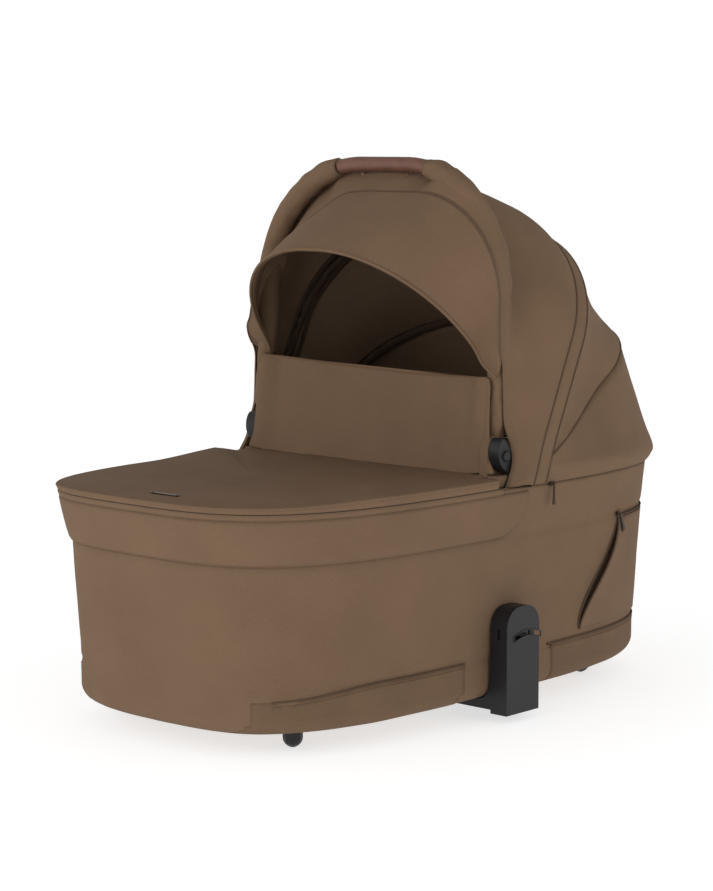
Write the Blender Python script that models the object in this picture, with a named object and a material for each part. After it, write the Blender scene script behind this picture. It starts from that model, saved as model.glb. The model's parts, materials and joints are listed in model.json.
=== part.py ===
"""Carrycot for a pushchair chassis: padded tub, folding hood with a carry handle, apron and adapters.

Width runs along X, the foot end points to -Y, the head end to +Y, and Z is up from the floor.
"""
import math

import bmesh
import bpy
import numpy as np
from mathutils import Vector

# Whole tub, seen from above and from the side
TUB_LENGTH = 0.796
TUB_WIDTH = 0.471
TUB_MIDDLE_Y = -0.002
CORNER_SHARE = 0.58
RIM_TOP = 0.2775
BAND_SEAM = 0.220
PANEL_SEAM = 0.076
UNDERSIDE = 0.026
EDGE_ROUND = 0.020
RIM_INSET = 0.0025
WALL_FLARE = 0.0085
WALL_TAPER = 0.008
WALL_SHIFT = 0.0055
WALL_THICK = 0.006
GAP = 0.0003
OVERRUN = 0.010

# Facets on round and swept shapes
PLAN_POINTS = 40
ARCH_POINTS = 25
TUBE_SIDES = 6
SMALL_SIDES = 12
HANDLE_SIDES = 10
ROUND_SIDES = 20
FRONT_POINTS = 37
LEG_RINGS = 3
SLEEVE_RINGS = 13
GRIP_RINGS = 7
EDGE_STEPS = 3

# Base panel, board, liner, rim tube and mattress
PANEL_THICK = 0.0015
NOTCH_LENGTH = 0.165
NOTCH_MIDDLE_Y = 0.010
NOTCH_DEPTH = 0.030
BOARD_THICK = 0.005
BOARD_INSET = 0.066
LINER_INSET = 0.0275
LINER_THICK = 0.002
LINER_CHAMFER = 0.013
LINER_FLOOR_INSET = 0.054
LIP_INSET = 0.009
RIM_TUBE_INSET = 0.018
RIM_TUBE_RADIUS = 0.0062
RIM_TUBE_SHIFT = 0.0008
MATTRESS_CLEARANCE = 0.0012
MATTRESS_ROUND = 0.010
MATTRESS_THICK = 0.030
MATTRESS_CROWN = 0.007
MATTRESS_CROWN_SHARES = (0.72, 0.36)

# Feet
FOOT_SIDE_INSET = 0.1055
FOOT_END_INSET = 0.128
FOOT_RADIUS = 0.012
DOME_FLAT = 0.003
FOOT_FLANGE = 0.014
FLANGE_THICK = 0.003
STEM_RADIUS = 0.004

# Skirt band and zips round the rim
BAND_TOP = 0.2725
BAND_THICK = 0.0015
BAND_END_Y = 0.026
BAND_RISE = 0.055
BAND_TIP = 0.006
BAND_ROWS = 2
ZIP_TOP = 0.2809
ZIP_THICK = 0.0015
ZIP_END_Y = -0.022
HOOD_ZIP_THICK = 0.003
HOOD_ZIP_START_Y = 0.032
HOOD_ZIP_INSET = 0.001

# Apron and its windshield flap
APRON_SEAT = 0.2812
APRON_EDGE = 0.2885
APRON_BEAD = 0.0012
APRON_BEAD_HEIGHT = 0.0026
APRON_WALL = 0.0025
APRON_CROWN = 0.003
APRON_SKIN = 0.002
APRON_CROWN_SHARES = (0.85, 0.45)
APRON_SIDE_END_Y = -0.032
APRON_TONGUE_HALF = 0.197
FLAP_AXIS_Y = -0.0075
FLAP_AXIS_Z = 0.2975
FLAP_HEIGHT = 0.112
FLAP_HEM = 0.002
FLAP_HALF_LOW = 0.190
FLAP_HALF_HIGH = 0.182
FLAP_LEAN_DEG = 8.0
FLAP_THICK = 0.005
FLAP_SOFT = 0.0015
FLAP_ROWS = 3
FLAP_COLUMNS = 8

# Chassis adapters
ADAPTER_OUT = 0.246
ADAPTER_THICK = 0.0245
ADAPTER_WIDTH = 0.061
ADAPTER_MIDDLE_Y = 0.0035
ADAPTER_TOP = 0.139
ADAPTER_BOTTOM = 0.0105
ADAPTER_CORNER = 0.024
ARM_TOP = 0.085
ARM_CLEARANCE = 0.001
ARM_PLATE = 0.010
ARM_REACH = 0.105
SOCKET_INNER_WALL = 0.006
SOCKET_DEPTH_X = 0.011
SOCKET_WIDTH = 0.044
SOCKET_TOP = 0.1275
SLIT_HEIGHT_Z = 0.101
SLIT_WIDTH = 0.050
SLIT_OPENING = 0.007
SLIT_ARC = 0.005
SLIT_SHIFT = 0.008
PORT_HEIGHT = 0.012
PORT_WIDTH = 0.004
PORT_DEPTH = 0.003
SCREW_X = 0.140
SCREW_SPACING = 0.034
SCREW_RADIUS = 0.002
SCREW_HEAD_RADIUS = 0.0045
SCREW_HEAD = 0.0025
SCREW_BITE = 0.0035

# Release lever, bolt and spring in each adapter
LEVER_HEIGHT = 0.014
LEVER_BOTTOM = 0.094
LEVER_WIDTH = 0.040
LEVER_LIP = 0.0045
LEVER_LIP_HALF = 0.0083
LEVER_LIP_THICK = 0.0012
LEVER_CLEARANCE = 0.0008
BOLT_Z = 0.072
BOLT_RADIUS = 0.005
BOLT_LENGTH = 0.0075
BOLT_BITE = 0.0045
BOLT_TRAVEL = 0.0028
SPRING_RADIUS = 0.0035
SPRING_WIRE = 0.0006
SPRING_TURNS = 4

# Hinge of the hood and handle
HINGE_Y = -0.005
HINGE_Z = 0.315
BRACKET_OUT = 0.2085
BRACKET_THICK = 0.0095
BRACKET_HALF = 0.016
BRACKET_ROUND = 0.018
BRACKET_FLANGE = 0.0045
BRACKET_FLANGE_OUT = 0.2265
PIN_RADIUS = 0.0045
PIN_HEAD = 0.0025
PIN_HEAD_RADIUS = 0.008
KNOB_RADIUS = 0.0185
KNOB_THICK = 0.0185
KNOB_CROWN = 0.004
CUP_RADIUS = 0.0135
CUP_LOW = 0.0235
CUP_HIGH = 0.050
NECK_WIDTH = 0.022
NECK_LOW = 0.012
NECK_HIGH = 0.040
BUTTON_RADIUS = 0.0095
BUTTON_LENGTH = 0.0075
BUTTON_PROUD = 0.0035
BUTTON_POCKET = 0.0085
BUTTON_CHAMFER = 0.0009

# Handle tube, its grip and sleeves, and the front hoop of the hood
HANDLE_LEAN_DEG = 6.0
HANDLE_HEIGHT = 0.3428
HANDLE_HALF_LOW = 0.2035
HANDLE_HALF_HIGH = 0.190
HANDLE_CORNER = 0.145
HANDLE_TAPER = 0.075
HANDLE_RADIUS = 0.0075
GRIP_HALF = 0.080
GRIP_THICK = 0.0016
SLEEVE_ROUND = 0.0155
SLEEVE_DEEP = 0.0150
SLEEVE_WALL = 0.0017
SLEEVE_START_Z = 0.4175
SLEEVE_GAP = 0.0025
SLEEVE_NECK_SHARE = 0.70
SLEEVE_SLIM_SHARE = 0.22
SLEEVE_SWELL_SHARE = 0.36
SLEEVE_END_SHARE = 0.14

# Arches that the hood fabric runs over, each from its own foot point
FABRIC = 0.002
PANEL_EDGE = 0.0005
HOOD_SEAT = 0.2815
FRONT_HEIGHT = 0.3405
FRONT_CLEARANCE = 0.0107
FRONT_HALF_HIGH = 0.2025
FRONT_CORNER = 0.145
FRONT_HOLD = 0.045
FRONT_TAPER = 0.085
FRONT_COVER = 0.0035
FRONT_CATCH = 0.080
FRONT_TUCK_START = 0.108
FRONT_TUCK_END = 0.140
SEAM_A_FOOT_Y = 0.037
SEAM_A_LEAN_DEG = 24.0
SEAM_A_HEIGHT = 0.3285
SEAM_B_FOOT_Y = 0.060
SEAM_B_LEAN_DEG = 24.5
SEAM_B_HEIGHT = 0.3185
SEAM_HALF_LOW = 0.2345
SEAM_HALF_HIGH = 0.2315
SEAM_CORNER = 0.145
SEAM_TAPER = 0.060
REAR_FOOT_Z = 0.313
REAR_FOOT_STEP = 0.002
REAR_LEAN_DEG = 61.0
REAR_HEIGHT = 0.2845
REAR_HALF_LOW = 0.2335
REAR_HALF_HIGH = 0.204
REAR_CORNER = 0.125
REAR_TAPER = 0.090
HOOD_BULGE = 0.0055
HOOD_BULGE_Z = 0.298
BULGE_RISE_SHARE = 4.0

# Middle and rear bows under the fabric, and the bracket that carries them
BOW_THICK = 0.003
BOW_WIDTH = 0.010
BOW_END = 0.009
MID_PIVOT_Y = 0.050
MID_PIVOT_Z = 0.3005
MID_LEAN_DEG = 25.1
MID_HEIGHT = 0.3015
MID_HALF = 0.2266
REAR_PIVOT_Y = 0.080
REAR_PIVOT_Z = 0.3020
REAR_BOW_LEAN_DEG = 58.5
REAR_BOW_HEIGHT = 0.2780
REAR_BOW_HALF_HIGH = 0.1990
PLATE_THICK = 0.0070
PLATE_START_Y = 0.037
PLATE_END_Y = 0.094
PLATE_ROUND = 0.011
STUD_RADIUS = 0.003
STUD_CLEARANCE = 0.0003

# Visor
VISOR_AXIS_Y = 0.004
VISOR_AXIS_Z = 0.4125
VISOR_LEAN_DEG = -36.6
VISOR_LENGTH = 0.1785
VISOR_HALF_LOW = 0.179
VISOR_HALF_HIGH = 0.1765
VISOR_CORNER = 0.152
VISOR_TAPER = 0.030
VISOR_WIRE = 0.0025
VISOR_PIN_REACH = 0.0055
VISOR_HEM = 0.0040
VISOR_EDGE_OVER = 0.004
VISOR_START_Z = 0.434

# Zip sliders, pulls and the vent flap at the head end
SLIDER_LENGTH = 0.011
SLIDER_WIDTH = 0.006
SLIDER_THICK = 0.003
HOOD_SLIDER_Y = 0.070
HOOD_SLIDER_Z = 0.2775
VENT_SLIDER_Y = 0.240
VENT_SLIDER_Z = 0.2205
PULL_LENGTH = 0.026
PULL_WIDEN_SHARE = 0.8
SLIDER_NOSE_SHARE = 0.6
VENT_PULL_SLANT_DEG = 25.0
PULL_NARROW = 0.0035
PULL_WIDE = 0.0060
PULL_THICK = 0.0014
VENT_LOW = 0.0850
VENT_HIGH = 0.2150
VENT_LOW_Y = 0.160
VENT_HIGH_Y = 0.240
VENT_LEFT_Y = 0.160
VENT_THICK = 0.0015
VENT_OFF = 0.0005
VENT_BULGE = 0.006
VENT_LIP_CLEARANCE = 0.0005
VENT_LIP_STEPS = 3
VENT_ROWS = 5

HALF_WIDTH = TUB_WIDTH / 2
HALF_LENGTH = TUB_LENGTH / 2
FOOT_X = HALF_WIDTH - FOOT_SIDE_INSET
FOOT_Y = HALF_LENGTH - FOOT_END_INSET
PANEL_SKIN = PANEL_THICK + GAP
EDGE_INSET = RIM_INSET + WALL_FLARE + WALL_TAPER - PANEL_SKIN + EDGE_ROUND
EDGE_Z = UNDERSIDE + EDGE_ROUND
BODY_ROUND = EDGE_ROUND - PANEL_SKIN
CAVITY_ROUND = BODY_ROUND - WALL_THICK
BOARD_Z = UNDERSIDE + PANEL_SKIN + WALL_THICK + GAP
LINER_Z = BOARD_Z + BOARD_THICK + GAP
MATTRESS_Z = LINER_Z + LINER_THICK + GAP
ADAPTER_IN = ADAPTER_OUT - ADAPTER_THICK
SOCKET_IN = ADAPTER_IN + SOCKET_INNER_WALL
SOCKET_OUT = SOCKET_IN + SOCKET_DEPTH_X
ARM_Z = UNDERSIDE - ARM_CLEARANCE
FRONT_HALF_LOW = BRACKET_FLANGE_OUT + FRONT_CLEARANCE
REAR_FOOT_RISE = REAR_FOOT_Z - HOOD_SEAT
REAR_FOOT_Y = SEAM_B_FOOT_Y + REAR_FOOT_RISE * math.tan(math.radians(SEAM_B_LEAN_DEG)) + REAR_FOOT_STEP
CHANNEL_REAR = SLEEVE_DEEP + PANEL_EDGE
APRON_REAR_Y = FLAP_AXIS_Y + RIM_INSET - GAP - ZIP_THICK + APRON_WALL
PLATE_OUT = MID_HALF - BOW_THICK / 2 - GAP
REAR_BOW_HALF_LOW = PLATE_OUT - PLATE_THICK - GAP - BOW_THICK / 2

FABRIC_BROWN = (0.172, 0.112, 0.073)
LINING_BROWN = (0.060, 0.042, 0.030)
LEATHER_BROWN = (0.150, 0.062, 0.040)
PLASTIC_BLACK = (0.022, 0.022, 0.024)
PLASTIC_GREY = (0.09, 0.09, 0.095)
METAL_GREY = (0.55, 0.55, 0.56)
BRONZE = (0.110, 0.072, 0.050)
PALE_CLOTH = (0.62, 0.58, 0.52)


def finish(name, colour, roughness, metallic=0.0):
    """Principled material of that name, made once."""
    material = bpy.data.materials.get(name)
    if material is None:
        material = bpy.data.materials.new(name)
        material.use_nodes = True
        shader = material.node_tree.nodes["Principled BSDF"]
        shader.inputs["Base Color"].default_value = (*colour, 1.0)
        shader.inputs["Roughness"].default_value = roughness
        shader.inputs["Metallic"].default_value = metallic
    return material


def cloth():
    return finish("outer_cloth", FABRIC_BROWN, 0.85)


def lining():
    return finish("lining_cloth", LINING_BROWN, 0.9)


def plastic():
    return finish("black_plastic", PLASTIC_BLACK, 0.45)


def grey_plastic():
    return finish("grey_plastic", PLASTIC_GREY, 0.4)


def steel():
    return finish("steel", METAL_GREY, 0.35, 1.0)


def bronze():
    return finish("bronze", BRONZE, 0.4, 1.0)


def build_object(name, mesh_data, material, sharp_deg=35.0):
    """Mesh object with outward faces, smooth shading and one material."""
    mesh_data.faces.ensure_lookup_table()
    bmesh.ops.recalc_face_normals(mesh_data, faces=mesh_data.faces)
    mesh = bpy.data.meshes.new(name)
    mesh_data.to_mesh(mesh)
    mesh_data.free()
    mesh.shade_smooth()
    mesh.set_sharp_from_angle(angle=math.radians(sharp_deg))
    mesh.materials.append(material)
    item = bpy.data.objects.new(name, mesh)
    bpy.context.collection.objects.link(item)
    return item


def loft(name, rings, material, closed_path=False):
    """Solid through rings of equal point counts; its ends are capped, or meet when the path is closed."""
    data = bmesh.new()
    rows = [[data.verts.new(point) for point in ring] for ring in rings]
    count = len(rows[0])
    pairs = list(zip(rows, rows[1:]))
    if closed_path:
        pairs.append((rows[-1], rows[0]))
    for low, high in pairs:
        for i in range(count):
            j = (i + 1) % count
            data.faces.new((low[i], low[j], high[j], high[i]))
    if not closed_path:
        data.faces.new(rows[0])
        data.faces.new(rows[-1])
    return build_object(name, data, material)


def slab(name, outer, inner, material):
    """Closed sheet between an outer and an inner grid of points."""
    data = bmesh.new()
    top = [[data.verts.new(point) for point in row] for row in outer]
    under = [[data.verts.new(point) for point in row] for row in inner]
    rows, columns = len(top), len(top[0])
    for i in range(rows - 1):
        for j in range(columns - 1):
            data.faces.new((top[i][j], top[i + 1][j], top[i + 1][j + 1], top[i][j + 1]))
            data.faces.new((under[i][j], under[i][j + 1], under[i + 1][j + 1], under[i + 1][j]))
    for i in (0, rows - 1):
        for j in range(columns - 1):
            data.faces.new((top[i][j], top[i][j + 1], under[i][j + 1], under[i][j]))
    for j in (0, columns - 1):
        for i in range(rows - 1):
            data.faces.new((top[i][j], top[i + 1][j], under[i + 1][j], under[i][j]))
    return build_object(name, data, material)


def sweep(path, normal, section):
    """Rings of a section carried along a path that lies in the plane with that normal."""
    points = [Vector(point) for point in path]
    plane = Vector(normal).normalized()
    rings = []
    for i, point in enumerate(points):
        ahead = points[min(i + 1, len(points) - 1)]
        behind = points[max(i - 1, 0)]
        outward = (ahead - behind).normalized().cross(plane)
        rings.append([point + outward * u + plane * v for u, v in section(i / (len(points) - 1))])
    return rings


def round_section(radius_out, radius_side=None, sides=TUBE_SIDES, offset=0.0):
    """Ellipse as a swept section, moved inward from the path by an offset."""
    side = radius_out if radius_side is None else radius_side
    turns = [2 * math.pi * (i + 0.5) / sides for i in range(sides)]
    points = [(radius_out * math.cos(t) - offset, side * math.sin(t)) for t in turns]
    return lambda share: points


def strip_section(thickness, width):
    """Rectangle as a swept section, thin across the arch."""
    u, v = thickness / 2, width / 2
    return lambda share: [(u, -v), (u, v), (-u, v), (-u, -v)]


def turned(name, profile, centre, axis, material, sides=ROUND_SIDES):
    """Turned solid: (radius, distance) pairs along an axis from a centre."""
    along = Vector(axis).normalized()
    helper = Vector((0, 0, 1)) if abs(along.z) < 0.9 else Vector((1, 0, 0))
    across = along.cross(helper).normalized()
    third = along.cross(across)
    turns = [2 * math.pi * i / sides for i in range(sides)]
    rings = []
    for radius, distance in profile:
        middle = Vector(centre) + along * distance
        rings.append([middle + (across * math.cos(t) + third * math.sin(t)) * radius for t in turns])
    return loft(name, rings, material)


def prism(name, outline, axis, start, end, material):
    """Outline extruded along X, Y or Z; the outline holds the other two coordinates in their order."""
    def place(pair, along):
        values = list(pair)
        values.insert("XYZ".index(axis), along)
        return tuple(values)
    rings = [[place(pair, start) for pair in outline], [place(pair, end) for pair in outline]]
    return loft(name, rings, material)


def block(name, low, high, material, bevel=0.0, steps=2):
    """Box between two corners, with rounded edges when a bevel is given."""
    (x0, y0, z0), (x1, y1, z1) = low, high
    item = prism(name, [(x0, y0), (x1, y0), (x1, y1), (x0, y1)], "Z", z0, z1, material)
    if bevel > 0:
        round_edges(item, bevel, steps)
    return item


def round_edges(item, width, steps=2, limit_deg=40.0):
    """Bevel modifier on the sharp edges."""
    modifier = item.modifiers.new("round", "BEVEL")
    modifier.width = width
    modifier.segments = steps
    modifier.limit_method = "ANGLE"
    modifier.angle_limit = math.radians(limit_deg)


def combine(item, other, operation):
    """Boolean of an item with a hidden helper solid."""
    modifier = item.modifiers.new(operation.lower(), "BOOLEAN")
    modifier.operation = operation
    modifier.solver = "EXACT"
    modifier.object = other
    other.hide_render = True
    other.display_type = "WIRE"
    return item


def arc_points(centre, radius, start_deg, end_deg, steps):
    """Points of an arc in a plane."""
    turns = [math.radians(start_deg + (end_deg - start_deg) * i / steps) for i in range(steps + 1)]
    return [(centre[0] + radius * math.cos(t), centre[1] + radius * math.sin(t)) for t in turns]


def carry(items, name, point):
    """Empty on a joint's axis that carries the pieces of one moving body."""
    empty = bpy.data.objects.new(name, None)
    bpy.context.collection.objects.link(empty)
    empty.location = point
    for item in items:
        item.parent = empty
        item.location = -Vector(point)
    return empty


def wall_inset(height):
    """How far the tub's outer wall lies inside its plan outline at a height."""
    flare = min(max((RIM_TOP - height) / (RIM_TOP - BAND_SEAM), 0), 1)
    taper = min(max((BAND_SEAM - height) / (BAND_SEAM - PANEL_SEAM), 0), 1)
    return RIM_INSET + WALL_FLARE * flare + WALL_TAPER * taper


def wall_shift(height):
    """How far the wall's outline has moved towards the head end at a height."""
    return WALL_SHIFT * min(max((RIM_TOP - height) / (RIM_TOP - BAND_SEAM), 0), 1)


def plan_point(turn, inset, height, shift=None):
    """Point of the rounded plan outline, inset from the rim, at a turn round it."""
    move = wall_shift(height) if shift is None else shift
    c, s = math.cos(turn), math.sin(turn)
    x = (HALF_WIDTH - inset) * math.copysign(abs(c) ** CORNER_SHARE, c)
    y = (HALF_LENGTH - inset) * math.copysign(abs(s) ** CORNER_SHARE, s)
    return Vector((x, y + TUB_MIDDLE_Y + move, height))


def plan_ring(inset, height, shift=None):
    return [plan_point(2 * math.pi * i / PLAN_POINTS, inset, height, shift) for i in range(PLAN_POINTS)]


def plan_turn(y, inset=0.0, height=RIM_TOP):
    """Turn at which the outline's right side passes a y position."""
    share = (y - TUB_MIDDLE_Y - wall_shift(height)) / (HALF_LENGTH - inset)
    return math.copysign(math.asin(min(abs(share), 1) ** (1 / CORNER_SHARE)), share)


def plan_x(y, inset, height):
    """Half width of the outline at a y position."""
    return plan_point(plan_turn(y, inset, height), inset, height).x


def arc_turns(start_y, end):
    """Turns of the plan ring's own points from the right side round the foot or head end to the left."""
    start = plan_turn(start_y)
    last = math.pi - start if end == "head" else -math.pi - start
    step = 2 * math.pi / PLAN_POINTS
    low, high = min(start, last), max(start, last)
    inner = [k * step for k in range(-PLAN_POINTS, PLAN_POINTS)
             if low + step / 4 < k * step < high - step / 4]
    turns = [low] + inner + [high]
    return turns if end == "head" else turns[::-1]


def plan_arc(start_y, inset, height, end):
    """Open run of the outline from the right side round the foot or head end to the left side."""
    return [plan_point(turn, inset, height) for turn in arc_turns(start_y, end)]


def edge_ring(radius, lift_deg):
    """Ring on the rounded lower edge: 0 degrees on the wall, 90 on the underside."""
    lift = math.radians(lift_deg)
    height = EDGE_Z - radius * math.sin(lift)
    return plan_ring(EDGE_INSET - radius * math.cos(lift), height, WALL_SHIFT)


def edge_rings(radius, downward=True):
    angles = [90.0 * i / EDGE_STEPS for i in range(EDGE_STEPS + 1)]
    return [edge_ring(radius, angle) for angle in (angles if downward else reversed(angles))]


def resample(points, count):
    """Same run of points, evenly spaced along its length."""
    run = np.array([tuple(point) for point in points], float)
    steps = np.linalg.norm(np.diff(run, axis=0), axis=1)
    length = np.concatenate([[0.0], np.cumsum(steps)])
    places = np.linspace(0.0, length[-1], count)
    return np.stack([np.interp(places, length, run[:, k]) for k in range(3)], axis=1)


def arch_flat(height, half_low, half_high, corner, taper, hold=0.0, inset=0.0):
    """Finely spaced arch in its own plane, as (across, rise) pairs from the right foot to the left."""
    low, high = half_low - inset, half_high - inset
    leg, round_corner = height - corner, corner - inset
    right = []
    for i in range(4 * ARCH_POINTS):
        rise = leg * i / (4 * ARCH_POINTS)
        share = min(max(rise - hold, 0) / taper, 1)
        right.append((low + (high - low) * share * share * (3 - 2 * share), rise))
    right += arc_points((high - round_corner, leg), round_corner, 0, 90, 4 * ARCH_POINTS)
    return right + [(-x, rise) for x, rise in reversed(right)]


def arch(foot, lean_deg, height, half_low, half_high, corner, taper, inset=0.0, hold=0.0,
         count=ARCH_POINTS):
    """Round-cornered arch over the tub, from its right foot over the crown to its left foot."""
    foot_y, foot_z = foot
    lean = math.radians(lean_deg)
    fine = arch_flat(height, half_low, half_high, corner, taper, hold, inset)
    flat = resample([(x, 0.0, rise) for x, rise in fine], count)
    return [Vector((x, foot_y + rise * math.sin(lean), foot_z + rise * math.cos(lean)))
            for x, _, rise in flat]


def arch_normal(lean_deg):
    """Normal of a leaning arch's plane, pointing to the foot end."""
    lean = math.radians(lean_deg)
    return (0.0, -math.cos(lean), math.sin(lean))


def front_line(inset=0.0):
    """Finely spaced arch of the hood's front in the handle's leaning plane."""
    lean = math.radians(HANDLE_LEAN_DEG)
    foot_y = HINGE_Y - (HINGE_Z - HOOD_SEAT) * math.tan(lean)
    fine = arch_flat(FRONT_HEIGHT, FRONT_HALF_LOW, FRONT_HALF_HIGH, FRONT_CORNER, FRONT_TAPER,
                     FRONT_HOLD, inset)
    return [Vector((x, foot_y + rise * math.sin(lean), HOOD_SEAT + rise * math.cos(lean)))
            for x, rise in fine]


def smooth(share):
    share = min(max(share, 0), 1)
    return share * share * (3 - 2 * share)


def front_edge(inset=0.0):
    """Front edge of the fabric: over the hinge, then behind the handle's sleeves, then under the grip."""
    points = []
    for point in resample(front_line(inset), FRONT_POINTS):
        x, y, z = point
        leg = smooth((z - HOOD_SEAT) / FRONT_CATCH)
        crown = 1 - smooth((abs(x) - FRONT_TUCK_START) / (FRONT_TUCK_END - FRONT_TUCK_START))
        move = CHANNEL_REAR * leg - FRONT_COVER * (1 - leg)
        if z > SLEEVE_START_Z:
            move -= (CHANNEL_REAR + SLEEVE_DEEP) * crown
        points.append(Vector((x, y + move, z)))
    return points


def seam_a_arch(inset=0.0, count=ARCH_POINTS):
    return arch((SEAM_A_FOOT_Y, HOOD_SEAT), SEAM_A_LEAN_DEG, SEAM_A_HEIGHT, SEAM_HALF_LOW,
                SEAM_HALF_HIGH, SEAM_CORNER, SEAM_TAPER, inset, count=count)


def seam_b_arch(inset=0.0):
    return arch((SEAM_B_FOOT_Y, HOOD_SEAT), SEAM_B_LEAN_DEG, SEAM_B_HEIGHT, SEAM_HALF_LOW,
                SEAM_HALF_HIGH, SEAM_CORNER, SEAM_TAPER, inset)


def seam_b_upper(inset=0.0):
    """The same seam from the height of the rear arch's feet upwards."""
    lean = math.radians(SEAM_B_LEAN_DEG)
    lift = (REAR_FOOT_Z - HOOD_SEAT) / math.cos(lean)
    return arch((SEAM_B_FOOT_Y + lift * math.sin(lean), REAR_FOOT_Z), SEAM_B_LEAN_DEG,
                SEAM_B_HEIGHT - lift, SEAM_HALF_LOW, SEAM_HALF_HIGH, SEAM_CORNER, SEAM_TAPER, inset)


def rear_arch(inset=0.0):
    return arch((REAR_FOOT_Y, REAR_FOOT_Z), REAR_LEAN_DEG, REAR_HEIGHT, REAR_HALF_LOW,
                REAR_HALF_HIGH, REAR_CORNER, REAR_TAPER, inset)


def between(first, second, share):
    return [a.lerp(b, share) for a, b in zip(first, second)]


def fabric_panel(name, first, second, rows, material):
    """Panel of hood fabric from one arch to the next, with a small gap at both seams."""
    outer_pair, inner_pair = (first(), second()), (first(FABRIC), second(FABRIC))
    outer, inner = [], []
    for i in range(rows + 1):
        for lines, (start, end) in ((outer, outer_pair), (inner, inner_pair)):
            line = []
            for a, b in zip(start, end):
                edge = PANEL_EDGE / (b - a).length
                line.append(a.lerp(b, edge + (1 - 2 * edge) * i / rows))
            lines.append(line)
    return slab(name, outer, inner, material)


def make_tub():
    """Padded outer tub, closed below and open above."""
    heights = [RIM_TOP, BAND_SEAM, PANEL_SEAM]
    walls = [plan_ring(wall_inset(z), z) for z in heights]
    cavity = [plan_ring(wall_inset(z) + WALL_THICK, z) for z in reversed(heights)]
    rings = edge_rings(CAVITY_ROUND, downward=False) + cavity + walls + edge_rings(BODY_ROUND)
    tub = loft("tub_body", rings, cloth())
    combine(tub, stem_holes("tub_stem_holes"), "DIFFERENCE")
    return combine(tub, screw_holes("tub_screw_holes"), "DIFFERENCE")


def stem_holes(name):
    """Helper solid: four upright pins where the feet's stems pass."""
    pins = []
    for i, (x, y) in enumerate(foot_places()):
        profile = [(STEM_RADIUS + GAP, UNDERSIDE - OVERRUN), (STEM_RADIUS + GAP, BOARD_Z - GAP / 2)]
        pins.append(turned(f"{name}_{i}", profile, (x, y, 0), (0, 0, 1), plastic(), SMALL_SIDES))
    first = pins[0]
    for other in pins[1:]:
        combine(first, other, "UNION")
    return first


def foot_places():
    return [(x * FOOT_X, y * FOOT_Y) for y in (-1, 1) for x in (-1, 1)]


def make_base_panel():
    """Hard-wearing panel under the tub, notched at both sides for the adapters."""
    wall = [EDGE_Z, PANEL_SEAM]
    inset_out, inset_in = EDGE_INSET - EDGE_ROUND, EDGE_INSET - EDGE_ROUND + PANEL_THICK
    inner = [plan_ring(inset_in, z, WALL_SHIFT) for z in wall[1:]]
    outer = [plan_ring(inset_out, z, WALL_SHIFT) for z in reversed(wall[1:])]
    rings = edge_rings(EDGE_ROUND - PANEL_THICK, downward=False) + inner + outer + edge_rings(EDGE_ROUND)
    panel = loft("base_panel", rings, cloth())
    combine(panel, stem_holes("panel_stem_holes"), "DIFFERENCE")
    combine(panel, screw_holes("panel_screw_holes"), "DIFFERENCE")
    reach = HALF_WIDTH - EDGE_INSET + EDGE_ROUND - NOTCH_DEPTH
    for side in (-1, 1):
        x0, x1 = sorted((side * reach, side * (HALF_WIDTH + OVERRUN)))
        low = (x0, NOTCH_MIDDLE_Y - NOTCH_LENGTH / 2, UNDERSIDE - OVERRUN)
        high = (x1, NOTCH_MIDDLE_Y + NOTCH_LENGTH / 2, PANEL_SEAM + OVERRUN)
        combine(panel, block(f"panel_notch_{side}", low, high, plastic()), "DIFFERENCE")
    return panel


def make_inside():
    """Board, lining, rim tube and mattress inside the tub."""
    board = [plan_ring(BOARD_INSET, z, WALL_SHIFT) for z in (BOARD_Z, BOARD_Z + BOARD_THICK)]
    board = loft("base_board", board, finish("board", PALE_CLOTH, 0.7))
    combine(board, screw_holes("board_screw_holes"), "DIFFERENCE")

    lip_low, low = RIM_TOP - LINER_THICK, BAND_SEAM
    chamfer_z = LINER_Z + LINER_CHAMFER
    inside = LINER_INSET + LINER_THICK
    rings = [plan_ring(LINER_FLOOR_INSET + LINER_THICK, LINER_Z + LINER_THICK),
             plan_ring(inside + LINER_CHAMFER / 2, chamfer_z),
             plan_ring(inside, low), plan_ring(inside, RIM_TOP),
             plan_ring(LIP_INSET, RIM_TOP), plan_ring(LIP_INSET, lip_low),
             plan_ring(LINER_INSET, lip_low), plan_ring(LINER_INSET, low),
             plan_ring(LINER_INSET + LINER_CHAMFER / 2, chamfer_z),
             plan_ring(LINER_FLOOR_INSET, LINER_Z)]
    loft("tub_lining", rings, lining())

    tube_z = lip_low - GAP - RIM_TUBE_RADIUS
    turns = [2 * math.pi * (i + 1 / 2) / TUBE_SIDES for i in range(TUBE_SIDES)]
    tube = [plan_ring(RIM_TUBE_INSET + RIM_TUBE_RADIUS * math.cos(t),
                      tube_z + RIM_TUBE_RADIUS * math.sin(t), RIM_TUBE_SHIFT) for t in turns]
    loft("rim_tube", tube, steel(), closed_path=True)

    top = MATTRESS_Z + MATTRESS_THICK
    side = inside + LINER_CHAMFER / 2 + MATTRESS_CLEARANCE
    base = LINER_FLOOR_INSET + LINER_THICK + MATTRESS_CLEARANCE
    middle = Vector((0.0, TUB_MIDDLE_Y + WALL_SHIFT, top))
    edge = plan_ring(side + MATTRESS_ROUND, top, WALL_SHIFT)
    crown = []
    for share in MATTRESS_CROWN_SHARES:
        lift = Vector((0.0, 0.0, MATTRESS_CROWN * (1 - share * share)))
        crown.append([middle + (point - middle) * share + lift for point in edge])
    walls = [plan_ring(side, z, WALL_SHIFT)
             for z in (chamfer_z + MATTRESS_CLEARANCE, top - MATTRESS_ROUND)]
    rings = [plan_ring(base, MATTRESS_Z, WALL_SHIFT)] + walls + [edge] + crown
    loft("mattress", rings, finish("mattress_cover", PALE_CLOTH, 0.9))


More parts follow.
